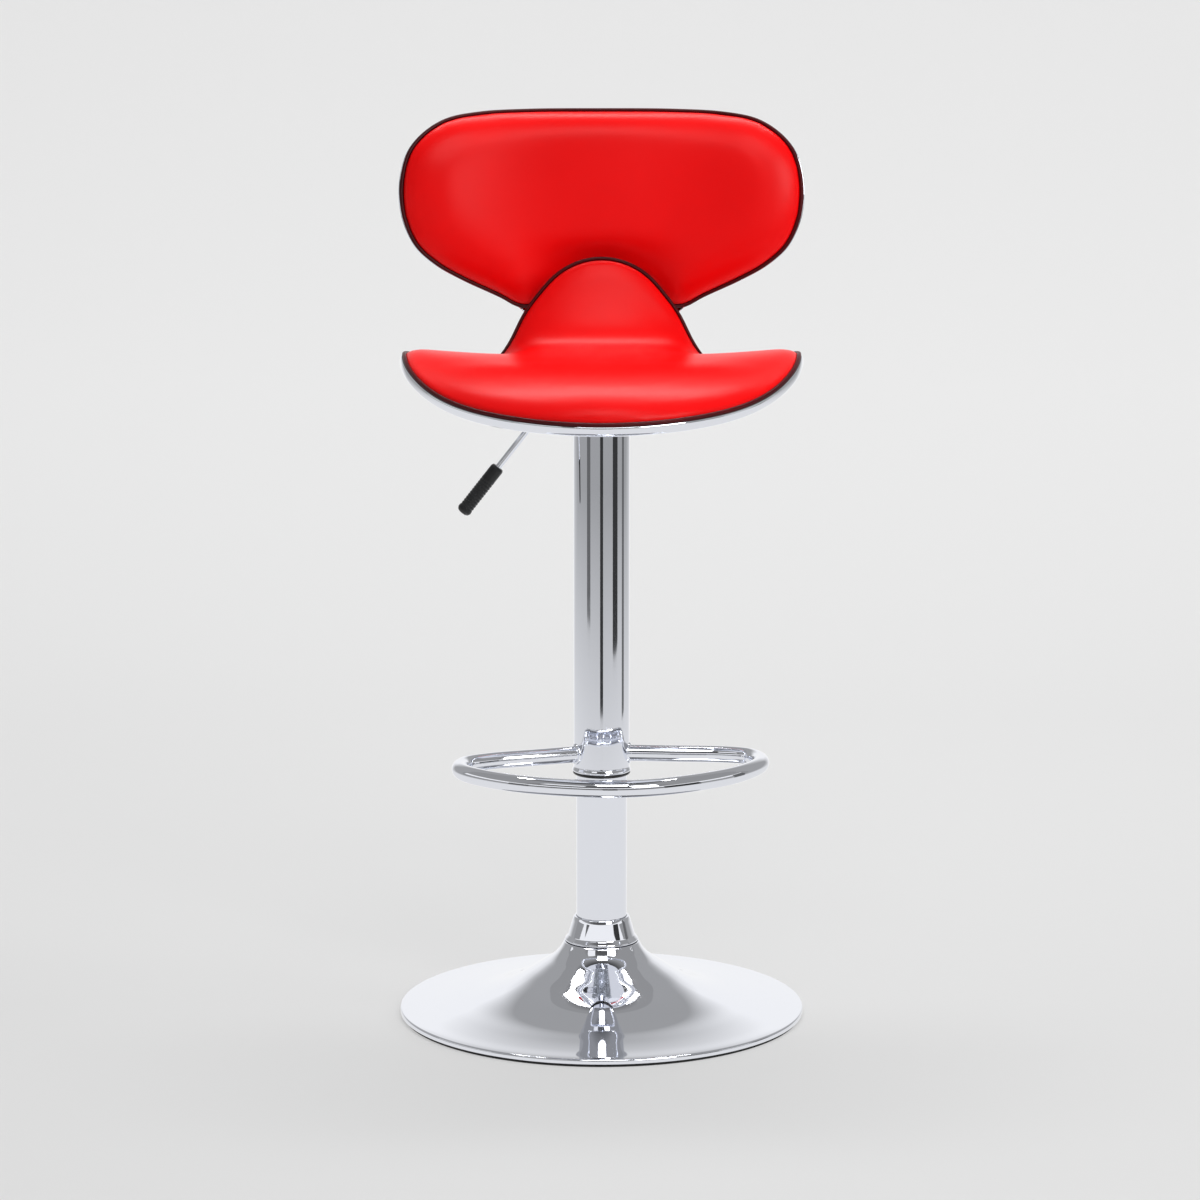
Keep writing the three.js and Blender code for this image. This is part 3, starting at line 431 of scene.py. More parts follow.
# Solids that no finer piece replaces. Those that aren't named here are zinc-plated.
INNER_FINISHES = {
    "base_weight": iron, "piston_rod": chrome, "bump_stop": rubber, "pressure_cylinder": paint,
    "bearing_ball_cage": brass, "valve_body": brass, "guide_bush": plastic, "piston": plastic,
    "rod_gland": plastic, "seat_board": ply, "back_board": leatherette,
}
for node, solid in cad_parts.items():
    painted(solid.data, INNER_FINISHES.get(node, zinc))
print("solids with a finish:", len(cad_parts))

# %% [markdown]
# Round pieces are turned: a profile with few points, spun about the stool's axis in many small steps. Where
# the real profile flows, as on the trumpet foot, a smooth line is drawn through the points first.

# %% Helpers for lines
def flow(points, per_span=8, closed=False):
    """Points along a smooth line through the given points, which spaces its bends by their distances."""
    points = [Vector(p) for p in points]
    if closed:
        ring = [points[-1]] + points + points[:2]
    else:
        ring = [2 * points[0] - points[1]] + points + [2 * points[-1] - points[-2]]
    line = []
    for before, start, end, after in zip(ring, ring[1:], ring[2:], ring[3:]):
        first, middle, last = [sqrt((b - a).length) for a, b in ((before, start), (start, end), (end, after))]
        chord = (end - start) / middle
        leave = ((start - before) / first - (end - before) / (first + middle) + chord) * middle
        arrive = (chord - (after - start) / (middle + last) + (after - end) / last) * middle
        for step in range(per_span):
            t = step / per_span
            rise = (3 * t ** 2 - 2 * t ** 3) * (end - start)
            bend = (t - 2 * t ** 2 + t ** 3) * leave + (t ** 3 - t ** 2) * arrive
            line.append(start + rise + bend)
    return line if closed else line + [points[-1]]


def respaced(line, count):
    """The same closed line with its points evenly apart."""
    loop = line + [line[0]]
    lengths = [(b - a).length for a, b in zip(loop, loop[1:])]
    step = sum(lengths) / count
    spaced, travelled, i = [], 0.0, 0
    for number in range(count):
        while travelled + lengths[i] < number * step:
            travelled += lengths[i]
            i += 1
        spaced.append(loop[i].lerp(loop[i + 1], (number * step - travelled) / lengths[i]))
    return spaced


def rounded(points, radius, steps=4):
    """The same open line with its inner corners rounded."""
    points = [Vector(p) for p in points]
    line = [points[0]]
    for before, corner, after in zip(points, points[1:], points[2:]):
        reach = min(radius, (corner - before).length / 2.2, (after - corner).length / 2.2)
        start = corner + (before - corner).normalized() * reach
        end = corner + (after - corner).normalized() * reach
        for step in range(steps + 1):
            t = step / steps
            line.append(start.lerp(corner, t).lerp(corner.lerp(end, t), t))
    return line + [points[-1]]


print("a square's corner, rounded:", len(rounded([(0, 0), (1, 0), (1, 1)], 0.2)), "points")

# %% Helpers for pieces
CREASE = 40
EDGE_SEGMENTS = 2
ROUND_STEPS = 160
SMALL_STEPS = 48


def finished(made, *nodes, slot="chrome", body="seat_unit", crease=CREASE):
    """Shades a piece smooth up to its creases and fixes it to the stool in place of some solids."""
    made.data.shade_smooth()
    made.data.set_sharp_from_angle(angle=radians(crease))
    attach(made, body)
    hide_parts(*nodes)
    return made


def thickened(made, thickness):
    """Gives a skin a wall on its inner side."""
    wall = made.modifiers.new("wall", "SOLIDIFY")
    wall.thickness = thickness * MM
    wall.offset = -1
    return made


def turned(name, profile, finish=chrome, steps=ROUND_STEPS, wall=None):
    """Spins a profile of (radius, height) in millimetres, which is a closed one unless it has a wall."""
    bm = bmesh.new()
    verts = [bm.verts.new((point[0] * MM, 0, point[1] * MM)) for point in profile]
    pairs = list(zip(verts, verts[1:])) + ([] if wall else [(verts[-1], verts[0])])
    edges = [bm.edges.new(pair) for pair in pairs]
    bmesh.ops.spin(
        bm, geom=verts + edges, cent=(0, 0, 0), axis=(0, 0, 1), angle=2 * pi, steps=steps, use_merge=True,
    )
    bmesh.ops.remove_doubles(bm, verts=bm.verts, dist=1e-6)
    bmesh.ops.recalc_face_normals(bm, faces=bm.faces)
    made = linked(name, bm, finish)
    return thickened(made, wall) if wall else made


def sleeve(inner, outer, low, high):
    return [(inner, low), (outer, low), (outer, high), (inner, high)]


def softened(made, width):
    """Breaks the sharp edges, as plating and moulding do."""
    edge = made.modifiers.new("edge", "BEVEL")
    edge.width = width * MM
    edge.segments = EDGE_SEGMENTS
    edge.limit_method = "ANGLE"
    edge.angle_limit = radians(CREASE)
    return made


def evaluated(made):
    """The mesh that an object shows once its modifiers or its curve are worked out."""
    return bpy.data.meshes.new_from_object(made.evaluated_get(bpy.context.evaluated_depsgraph_get()))


def applied(made):
    """Bakes a piece's modifiers into its mesh."""
    mesh = evaluated(made)
    made.modifiers.clear()
    made.data = mesh
    return made


def combined(made, tool, operation):
    """Cuts or joins a piece with another one, which is used up."""
    join = made.modifiers.new("join", "BOOLEAN")
    join.operation = operation
    join.solver = "EXACT"
    join.object = tool
    applied(made)
    bpy.data.objects.remove(tool)
    return made


def placed(made, matrix):
    made.data.transform(matrix)
    return made


def swept(name, line, radius, sides, closed=False):
    """A round chromed bar along a line of points in millimetres."""
    curve = bpy.data.curves.new(name, "CURVE")
    curve.dimensions = "3D"
    curve.bevel_depth = radius * MM
    curve.bevel_resolution = sides
    curve.use_fill_caps = not closed
    spline = curve.splines.new("POLY")
    spline.points.add(len(line) - 1)
    for point, place in zip(spline.points, line):
        point.co = (*(Vector(place) * MM), 1)
    spline.use_cyclic_u = closed
    path = shown(name + "_path", curve)
    mesh = evaluated(path)
    bpy.data.objects.remove(path)
    mesh.name = name
    return shown(name, painted(mesh, chrome))


print("helpers ready")

# %% [markdown]
# The foot of the stool is a spun sheet: a flat rim that sweeps up into a narrow neck. It is the largest
# mirror on the stool, so its line has to flow.

# %% Foot
GAP = 0.3
BASE_RADIUS = 192.5
BASE_WALL = 1.5
BASE_STEPS = 256
RIM_HEIGHT = 8.0
RIM_FALL = 0.4
RIM_ROUND = 4.0
NECK_RADIUS = 35.5
NECK_HEIGHT = 70.0
RING_HEIGHT = 3.0
RING_WIDTH = 18.0
RING_PLAY = 1.0
RING_EDGE = 0.8
TRUMPET = [
    (0, 1), (0.029, 0.871), (0.073, 0.758), (0.124, 0.669), (0.194, 0.556), (0.283, 0.411), (0.398, 0.266),
    (0.551, 0.145), (0.729, 0.073), (0.889, 0.024), (1, 0),
]

reach_out = BASE_RADIUS - RIM_ROUND - NECK_RADIUS
rise = NECK_HEIGHT - RIM_HEIGHT
trumpet = flow([(NECK_RADIUS + out * reach_out, RIM_HEIGHT + up * rise) for out, up in TRUMPET], 5)
rim = [(BASE_RADIUS, RIM_HEIGHT - RIM_FALL), (BASE_RADIUS, RING_HEIGHT + GAP)]
rim_line = rounded([trumpet[-2], *rim], RIM_ROUND, 8)
foot = turned("foot_cover", trumpet[:-2] + rim_line, steps=BASE_STEPS, wall=BASE_WALL)
finished(foot, "base_shell", body="base")

ring_outer = BASE_RADIUS - BASE_WALL - RING_PLAY
ring_line = sleeve(ring_outer - RING_WIDTH, ring_outer, 0, RING_HEIGHT)
ring = turned("foot_ring", ring_line, rubber)
finished(softened(ring, RING_EDGE), "floor_ring", slot="rubber", body="base")
print("foot points:", len(foot.data.vertices))

# %% [markdown]
# A cone-shaped collar drops over the neck and hides the joint. Above it stands the lower column, and the
# outer tube slides on that column with a rolled lip at its foot, over a black glide ring.

# %% Collar and tubes
COLUMN_RADIUS = 24.0
COLUMN_WALL = 1.5
COLLAR_HEIGHT = 24.0
COLLAR_TOP = 26.2
COLLAR_FOOT = 35.0
COLLAR_LIP = 2.0
COLLAR_STEP = 3.0
COLLAR_ROUND = 0.9
TUBE_RADIUS = 26.5
TUBE_WALL = 1.3
TUBE_EDGE = 0.4
FLARE = 1.3
FLARE_HEIGHT = 6.0
GLIDE_STEP = 0.65
GLIDE_CHAMFER = 1.2


def heights(node):
    """A solid's lowest and highest height in millimetres."""
    return [corner.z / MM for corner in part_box(node)]


on_column = COLUMN_RADIUS + GAP
column_foot, column_top = heights("column_tube")
tube_foot, tube_top = heights("upper_tube")
glide_low, glide_high = heights("glide_ring")

low, high = NECK_HEIGHT + GAP, NECK_HEIGHT + GAP + COLLAR_HEIGHT
collar_outside = rounded([
    (COLLAR_FOOT - 2.5, low), (COLLAR_FOOT, low), (COLLAR_FOOT, low + COLLAR_LIP),
    (COLLAR_FOOT - COLLAR_STEP, low + COLLAR_LIP + COLLAR_STEP),
    (COLLAR_TOP + 1.2, high - COLLAR_STEP), (COLLAR_TOP, high), (on_column, high),
], COLLAR_ROUND)
collar = turned("neck_collar", collar_outside + [Vector((on_column, low))])
finished(collar, "base_collar", body="base")

column_line = sleeve(COLUMN_RADIUS - COLUMN_WALL, COLUMN_RADIUS, column_foot, column_top)
column = turned("lower_column", column_line)
finished(softened(column, TUBE_EDGE), "column_tube", body="base")

flare_top = tube_foot + FLARE_HEIGHT
tube_bore = TUBE_RADIUS - TUBE_WALL
lip = flow([
    (TUBE_RADIUS + FLARE * 0.35, tube_foot), (TUBE_RADIUS + FLARE, tube_foot + 1.2),
    (TUBE_RADIUS + FLARE * 0.8, tube_foot + 2.6), (TUBE_RADIUS + 0.15, flare_top - 1.5),
    (TUBE_RADIUS, flare_top),
], 5)
outer_tube = turned("outer_tube", [
    (tube_bore, tube_foot), *lip, (TUBE_RADIUS, tube_top), (tube_bore, tube_top),
])
finished(outer_tube, "upper_tube")

glide_top = tube_foot - GAP
glide_outer = TUBE_RADIUS + GLIDE_STEP
glide = turned("glide_lip", [
    (on_column, glide_low), (TUBE_RADIUS - GLIDE_STEP, glide_low),
    (glide_outer, glide_low + GLIDE_CHAMFER), (glide_outer, glide_top), (tube_bore - GAP, glide_top),
    (tube_bore - GAP, glide_high), (on_column, glide_high),
], plastic)
finished(softened(glide, TUBE_EDGE), "glide_ring", slot="black_plastic")
print("column from", round(column_foot, 1), "to", round(column_top, 1))

# %% [markdown]
# The footrest is one bent tube, welded to the outer tube at both ends. Its line is drawn on the right side
# and mirrored, then turned a little, because on this stool it isn't quite square to the seat.

# %% Footrest
REST_RADIUS = 8.0
REST_YAW = radians(8.4)
REST_REACH = 165.0
REST_HALF = 141.0
REST_RISE = 17.5
REST_INSET = 0.9
REST_BENDS = [
    (0.45, 0.09), (0.78, 0.155), (0.955, 0.24), (1, 0.37), (0.95, 0.52), (0.72, 0.755), (0.4, 0.92),
    (0.12, 0.995),
]
WELD_RADIUS = 1.5
WELD_REACH = REST_RADIUS + 0.7

rest_height = tube_foot + REST_RISE
right = [(TUBE_RADIUS - REST_INSET, -0.035 * REST_REACH)]
right += [(out * REST_HALF, -ahead * REST_REACH) for out, ahead in REST_BENDS]
left = [(-x, y) for x, y in reversed(right)]
turn_plan = Matrix.Rotation(REST_YAW, 3, "Z")
rest_line = flow([turn_plan @ Vector((x, y, rest_height)) for x, y in right + left], 10)
hoop = swept("foot_hoop", rest_line, REST_RADIUS, 14)
finished(hoop, "footrest_ring")

for name, end in (("weld_right", rest_line[0]), ("weld_left", rest_line[-1])):
    bead = []
    for step in range(SMALL_STEPS):
        angle = step / SMALL_STEPS * 2 * pi
        turn = atan2(end.y, end.x) + asin(WELD_REACH * cos(angle) / TUBE_RADIUS)
        bead.append((TUBE_RADIUS * cos(turn), TUBE_RADIUS * sin(turn), end.z + WELD_REACH * sin(angle)))
    finished(swept(name, bead, WELD_RADIUS, 4, closed=True))
print("footrest points:", len(rest_line))

# %% [markdown]
# Under the seat a bent steel rod tips on a pin and presses the valve of the gas spring. It comes out through
# a slot in the seat's plate, and its end carries a ribbed black handle.

# %% Lever
LEVER_HEIGHT = 573.5
LEVER_PIVOT_X = -26.0
LEVER_INNER_X = 6.0
LEVER_BEND_X = -58.4
LEVER_ROUND = 9.0
LEVER_DROP = 82.0
LEVER_SLOPE = radians(51.8)
LEVER_RADIUS = 3.0
HUB_RADIUS = 5.0
HUB_HALF = 4.0
PIVOT_BORE = 2.3
GRIP_RADIUS = 7.0
GRIP_NECK = 0.92 * GRIP_RADIUS
GRIP_LENGTH = 55.0
GRIP_ON_ROD = 20.0
GRIP_ROUND = 0.5
GRIP_STEPS = 64
RIBS = 11
RIB_START = 0.30
RIB_SPACING = 0.055
RIB_RADIUS = 0.95 * GRIP_RADIUS
RIB_DEPTH = 0.55
# How far along each corner of a groove lies from its start, and how deep.
RIB_CORNERS = [(0, 0), (0.6, RIB_DEPTH), (1.1, RIB_DEPTH), (1.7, 0)]

bend = Vector((LEVER_BEND_X, 0, LEVER_HEIGHT))
down = Vector((-cos(LEVER_SLOPE), 0, -sin(LEVER_SLOPE)))
lever_end = bend + down * LEVER_DROP
lever_line = rounded([(LEVER_INNER_X, 0, LEVER_HEIGHT), bend, lever_end], LEVER_ROUND, 10)
lever = swept("lever_bar", lever_line, LEVER_RADIUS, 6)
hub = turned("hub", sleeve(PIVOT_BORE, HUB_RADIUS, -HUB_HALF, HUB_HALF), steps=SMALL_STEPS)
at_pivot = Matrix.Translation((LEVER_PIVOT_X * MM, 0, LEVER_HEIGHT * MM))
combined(lever, placed(hub, at_pivot @ Matrix.Rotation(pi / 2, 4, "X")), "UNION")
finished(lever, "lever_rod", body="lever")

grip_start, grip_end = -GRIP_ON_ROD, GRIP_LENGTH - GRIP_ON_ROD
ribbed = []
for rib in range(RIBS):
    start = grip_start + GRIP_LENGTH * (RIB_START + RIB_SPACING * rib)
    ribbed += [(RIB_RADIUS - depth, start + along) for along, depth in RIB_CORNERS]
grip_bore = LEVER_RADIUS + GAP
handle = turned("lever_handle", rounded([
    (grip_bore, grip_start), (0.75 * GRIP_RADIUS, grip_start), (GRIP_NECK, grip_start + 2),
    (GRIP_NECK, grip_start + 0.25 * GRIP_LENGTH), *ribbed, (GRIP_RADIUS, grip_end - 3.5),
    (0.8 * GRIP_RADIUS, grip_end - 1), (0.5 * GRIP_RADIUS, grip_end), (0, grip_end),
], GRIP_ROUND, 2) + [(0, GAP), (grip_bore, GAP)], plastic, GRIP_STEPS)
along_lever = Matrix.Translation(lever_end * MM) @ down.to_track_quat("Z", "Y").to_matrix().to_4x4()
finished(placed(handle, along_lever), "lever_grip", slot="black_plastic", body="lever")
print("lever ends at", [round(v, 1) for v in lever_end])

# %% [markdown]
# The seat stands on a pressed plate: a flat flange with a deep cup, which the gas spring's taper goes into.
# It is cut from a slab, rounded at its corners, and a slot lets the lever out on the left.

# %% Seat plate
PLATE_HALF_X = 62.0
PLATE_HALF_Y = 54.0
PLATE_THICKNESS = 2.5
PLATE_CORNER = 9.0
PLATE_EDGE = 0.5
PLATE_BOLT_X = 50.0
PLATE_BOLT_Y = 42.0
CUP_TOP = 40.0
CUP_BOTTOM = 35.0
CUP_WALL = 1.5
CUP_ROUND = 4.0
CUP_SETBACK = 0.2
CUP_STEPS = 128
SOCKET_RADIUS = 20.0
SLOT_HALF = 4.5
SLOT_END = -31.0
SLOT_ROOF = 1.5
SLOT_CORNER = 1.0
CUT_MARGIN = 5.0
CUT_STEPS = 96

cup_floor, plate_top = heights("seat_plate")


def slab(name, low, high, corner):
    """A block between two corners, with its upright edges rounded, in millimetres."""
    bm = bmesh.new()
    bmesh.ops.create_cube(bm, size=1)
    low, high = Vector(low) * MM, Vector(high) * MM
    bmesh.ops.scale(bm, vec=high - low, verts=bm.verts)
    bmesh.ops.translate(bm, vec=(low + high) / 2, verts=bm.verts)
    edges = [e for e in bm.edges if abs(e.verts[0].co.z - e.verts[1].co.z) > 1e-5]
    bmesh.ops.bevel(
        bm, geom=edges, offset=corner * MM, affect="EDGES", segments=8, profile=0.5, material=-1,
    )
    return linked(name, bm, zinc)


flange_bottom = plate_top - PLATE_THICKNESS
flange_low = (-PLATE_HALF_X, -PLATE_HALF_Y, flange_bottom)
flange_high = (PLATE_HALF_X, PLATE_HALF_Y, plate_top)
flange = slab("seat_plate_flange", flange_low, flange_high, PLATE_CORNER)
opening = sleeve(0, CUP_TOP, flange_bottom - CUT_MARGIN, plate_top + CUT_MARGIN)
combined(flange, turned("opening", opening, zinc, CUT_STEPS), "DIFFERENCE")
finished(softened(flange, PLATE_EDGE), "seat_plate", slot="steel")

cup_bore, cup_top = SOCKET_RADIUS + GAP, plate_top - CUP_SETBACK
cup_outside = [(cup_bore, cup_floor), (CUP_BOTTOM, cup_floor), (CUP_TOP, cup_top)]
cup_inside = [
    (CUP_TOP - CUP_WALL, cup_top), (CUP_BOTTOM - CUP_WALL, cup_floor + CUP_WALL),
    (cup_bore, cup_floor + CUP_WALL),
]
cup_line = rounded(cup_outside, CUP_ROUND, 6) + rounded(cup_inside, CUP_ROUND, 6)
cup = turned("seat_plate_cup", cup_line, zinc, CUP_STEPS)
slot_low = (-PLATE_HALF_X, -SLOT_HALF, LEVER_HEIGHT - SLOT_HALF)
slot_high = (SLOT_END, SLOT_HALF, flange_bottom - SLOT_ROOF)
combined(cup, slab("slot", slot_low, slot_high, SLOT_CORNER), "DIFFERENCE")
finished(cup, "seat_plate", slot="steel")
print("seat plate from", round(cup_floor, 1), "to", round(plate_top, 1))

# %% [markdown]
# The seat is a moulded ply board with a chromed pan under it and a padded cover over it. Flat in plan it is a
# round shape with a tongue, and it is made the same way here: flat first, then pressed over a curved surface
# that lifts at the wings, dips at the front and turns up at the rear into the tongue.

# %% Surface of the seat
BOARD_TOP = 600.0
SEAT_HALF = 185.5
SEAT_FRONT = 181.0
WIDEST_Y = -5.0
FRONT_ANGLES = (-72, -54, -36, -18, 0)
SHOULDER = [(0.989, 0.097), (0.935, 0.216), (0.827, 0.323), (0.687, 0.41), (0.569, 0.507), (0.482, 0.62)]
WING_LIFT = 32.0
WING_POWER = 2.1
WING_START = 50.0
FRONT_DROP = 16.0
DROP_START = -60.0
BEND_START = 42.0
BEND_SPREAD = 17.0
SPREAD_SPAN = 60.0
BEND_RADIUS = 55.0
TILT = radians(80)
TONGUE_REACH = 188.5
TONGUE_HUG = 5.0
TONGUE_TIP = [
    (0.412, 0.275), (0.371, 0.221), (0.326, 0.171), (0.264, 0.108), (0.2, 0.059), (0.137, 0.027),
    (0.07, 0.007), (0, 0),
]
FLAT_HALF = 40.0
HUG_SPAN = 30.0


def ease(t):
    t = min(1.0, max(0.0, t))
    return t * t * (3 - 2 * t)


def seat_surface(x, q):
    """The top of the board at x across and q along it from the column's axis."""
    side = max(0.0, abs(x) - WING_START)
    outside = max(0.0, abs(x) - FLAT_HALF)
    start = BEND_START + BEND_SPREAD * (outside / SPREAD_SPAN) ** 2
    past = max(0.0, q - start)
    angle = min(past / BEND_RADIUS, TILT)
    straight = max(0.0, past - BEND_RADIUS * TILT)
    hug = TONGUE_HUG * (outside / HUG_SPAN) ** 2
    drop = max(0.0, DROP_START - q) / (SEAT_FRONT + DROP_START)
    wing = WING_LIFT * ease((q + SEAT_FRONT) / SEAT_FRONT)
    wing_share = (side / (SEAT_HALF - WING_START)) ** WING_POWER
    y = min(q, start) + BEND_RADIUS * sin(angle) + straight * cos(TILT)
    z = BOARD_TOP + BEND_RADIUS * (1 - cos(angle)) + straight * sin(TILT)
    return Vector((x, y - hug * ease(angle / TILT), z + wing * wing_share - FRONT_DROP * drop ** 2))


def over(surface, a, b, height):
    """A point at a height over a surface, square to it."""
    step = 0.5
    across = surface(a + step, b) - surface(a - step, b)
    along = surface(a, b + step) - surface(a, b - step)
    return surface(a, b) + across.cross(along).normalized() * height


print("tongue's tip at", [round(v, 1) for v in seat_surface(0, TONGUE_REACH)])

# %% Panels
OUTLINE_POINTS = 176


class Panel:
    """A curved surface with an outline in its flat plan."""

    def __init__(self, surface, right_half, centre, count=OUTLINE_POINTS):
        left = [(-x, y) for x, y in right_half[1:-1]]
        closed = [Vector((x, y, 0)) for x, y in right_half + left[::-1]]
        self.surface = surface
        self.outline = respaced(flow(closed, 8, closed=True), count)
        self.centre = Vector((*centre, 0))

    def loop(self, inset, share=1.0, height=0.0):
        """The outline drawn in by an inset, then shrunk to a share of itself about the centre."""
        line, up = self.outline, height if callable(height) else lambda x, y: height
        points = []
        for before, point, after in zip(line[-1:] + line, line, line[1:] + line[:1]):
            along = (after - before).normalized()
            inner = point + Vector((-along.y, along.x, 0)) * inset
            at = self.centre.lerp(inner, share)
            points.append(Vector((at.x, at.y, up(at.x, at.y))))
        return points

    def press(self, mesh):
        """Moves a flat mesh in millimetres onto the surface, in metres."""
        for vertex in mesh.vertices:
            vertex.co = over(self.surface, *vertex.co) * MM


def skinned(name, loops, finish, caps=(False, False), ring=False):
    """Extrudes a loop of points from one to the next. Caps close the ends, and a ring joins them."""
    bm = bmesh.new()
    row = [bm.verts.new(point) for point in loops[0]]
    edges = [bm.edges.new(pair) for pair in zip(row, row[1:] + row[:1])]
    ends = [edges]
    for loop in loops[1:] + (loops[:1] if ring else []):
        drawn = bmesh.ops.extrude_edge_only(bm, edges=edges)
        fresh = {item for item in drawn["geom"] if isinstance(item, bmesh.types.BMVert)}
        row = [next(e.other_vert(v) for e in v.link_edges if e.other_vert(v) in fresh) for v in row]
        for vert, point in zip(row, loop):
            vert.co = point
        edges = [bm.edges.get(pair) for pair in zip(row, row[1:] + row[:1])]
    ends.append(edges)
    for end, cap in zip(ends, caps):
        if cap:
            bmesh.ops.edgeloop_fill(bm, edges=end)
    if ring:
        bmesh.ops.remove_doubles(bm, verts=bm.verts, dist=1e-4)
    bmesh.ops.recalc_face_normals(bm, faces=bm.faces)
    return linked(name, bm, finish)


# The right half of the seat's plan: a half ellipse, a shoulder and the tongue's tip.
seat_depth = SEAT_FRONT + WIDEST_Y
seat_half = [(0, WIDEST_Y - seat_depth)]
for angle in map(radians, FRONT_ANGLES):
    seat_half.append((SEAT_HALF * cos(angle), WIDEST_Y + seat_depth * sin(angle)))
seat_half += [(out * SEAT_HALF, back * SEAT_HALF) for out, back in SHOULDER]
seat_half += [(out * SEAT_HALF, TONGUE_REACH - below * SEAT_HALF) for out, below in TONGUE_TIP]
seat = Panel(seat_surface, seat_half, (0, 0))
print("seat outline:", len(seat.outline), "points")

# %% [markdown]
# The pan is a thin chromed shell. Its skin is extruded from loop to loop: from the middle out along the
# underside, round a soft corner and up to the rim. A modifier gives it its wall, on the inner side. The
# piping is a cord in a strip of leather, whose tail is tucked between the pan and the cover.

# %% Pans and welts
RIM_TOP = -2.1
PAN_CORNER = 7.0
CORNER_STEPS = 8
INNER_SHARES = [0.03, 0.07] + [i / 24 for i in range(3, 24)]
WELT_RADIUS = 1.9
WELT_INSET = 1.95
WELT_HEIGHT = -0.1
WELT_TURNS = [250, 225, 200, 175, 150, 125, 100, 75, 50, 32, 20]
TAPE_INSET = 7.0
TAPE_HALF = 0.5
PAN_DEPTH = 13.0
PAN_WALL = 1.5


def pan_skin(name, panel, depth, wall):
    loops = [panel.loop(PAN_CORNER, share, -depth) for share in INNER_SHARES]
    for step in range(CORNER_STEPS + 1):
        turn = step / CORNER_STEPS * pi / 2
        rise = (depth + RIM_TOP) * (1 - cos(turn))
        loops.append(panel.loop(PAN_CORNER * (1 - sin(turn)), 1, rise - depth))
    made = skinned(name, loops, chrome, caps=(True, False))
    panel.press(made.data)
    return thickened(made, wall)


def welt(name, panel):
    section = [
        (WELT_INSET + WELT_RADIUS * cos(turn), WELT_HEIGHT + WELT_RADIUS * sin(turn))
        for turn in map(radians, WELT_TURNS)
    ] + [(TAPE_INSET, TAPE_HALF), (TAPE_INSET, -TAPE_HALF)]
    made = skinned(name, [panel.loop(inset, 1, height) for inset, height in section], welt_leather, ring=True)
    panel.press(made.data)
    return made


seat_shell = pan_skin("seat_shell", seat, PAN_DEPTH, PAN_WALL)
finished(seat_shell, "seat_pan")
finished(welt("seat_welt", seat), "seat_piping", slot="dark_piping")
print("pan faces:", len(seat_shell.data.polygons))

# %% [markdown]
# A padded cover is blown up rather than drawn. The flat pad is remeshed into even squares, held along its
# bottom and inflated as cloth for twenty frames. Its swelling is capped and evened out, its lowest part is
# drawn in to the seam, and only then is it pressed over the curved surface, so that the foam keeps its
# thickness round the bend. There the cover is under tension, so it leaves the foam and spans the hollow.

# %% Padded covers
COVER_INSET = 0.8
COVER_LIFT = 0.3
SEAM_INSET = 3.5
SEAM_REACH = 7.5
SEAM_HEIGHT = 2.8
SEAM_BLEND = 6.0
HELD_HEIGHT = 1.2
EDGE_POINTS = 1200
EDGE_INSETS = [0.0, 0.1, 0.5, 1.4, 3.0, 5.5, 9.0]
TOP_SHARES = [0.97, 0.94, 0.9, 0.86, 0.82, 0.77, 0.72, 0.66, 0.6, 0.5, 0.4, 0.3, 0.2, 0.1, 0.04]
VOXEL = 4.5
SWELLING = 2.0
PRESSURE = 4.0
FRAMES = 20
GRID_SMOOTHING = 5
SETTLING = 4
EVENING = 80
SPAN_CLEAR = 8.0
SPAN_BLEND = 26.0
SPAN_REACH = 65.0
SPAN_PASSES = 170
COVER_CREASE = 80


def dome(depth, width):
    """Share of its height that a pad reaches at a depth from its edge: a quarter of an ellipse."""
    return sqrt(1 - max(0.0, 1 - depth / width) ** 2)


def edge_of(panel):
    """Finds the nearest point of a panel's outline."""
    edge = KDTree(EDGE_POINTS)
    for number, point in enumerate(respaced(panel.outline, EDGE_POINTS)):
        edge.insert(point, number)
    edge.balance()
    return edge


def flat_pad(name, panel, edge, thickness, crown, shares):
    """A closed pad on its flat plan, in millimetres."""
    bottom = RIM_TOP + COVER_LIFT

    def height(depth, x, y):
        return bottom + dome(depth, crown(x, y)) * thickness(x, y)

    def top(x, y):
        return height(max(edge.find((x, y, 0))[2] - COVER_INSET, 0.0), x, y)

    loops = [panel.loop(COVER_INSET, share, bottom) for share in shares]
    for inset in EDGE_INSETS:
        loops.append(panel.loop(COVER_INSET + inset, 1, lambda x, y: height(inset, x, y)))
    loops += [panel.loop(COVER_INSET + EDGE_INSETS[-1], share, top) for share in TOP_SHARES]
    return skinned(name, loops, leatherette, caps=(True, True))


def seamed(made, edge):
    """Pulls the lowest part of a cover to an even distance from the outline, as its seam does."""
    for vertex in made.data.vertices:
        near, _, depth = edge.find((vertex.co.x, vertex.co.y, 0))
        low = 1 - (vertex.co.z - RIM_TOP - SEAM_HEIGHT) / SEAM_BLEND
        if depth < SEAM_INSET + SEAM_REACH and low > 0:
            inward = (Vector((vertex.co.x, vertex.co.y, 0)) - near).normalized()
            vertex.co += inward * (SEAM_INSET - depth) * min(low, 1.0)


def relaxed(made, passes):
    """Evens out a mesh, as a stretched cover pulls its own dents flat."""
    bm = bmesh.new()
    bm.from_mesh(made.data)
    axes = {"use_axis_x": True, "use_axis_y": True, "use_axis_z": True}
    for _ in range(passes):
        bmesh.ops.smooth_vert(bm, verts=bm.verts, factor=0.5, **axes)
    bm.to_mesh(made.data)
    bm.free()


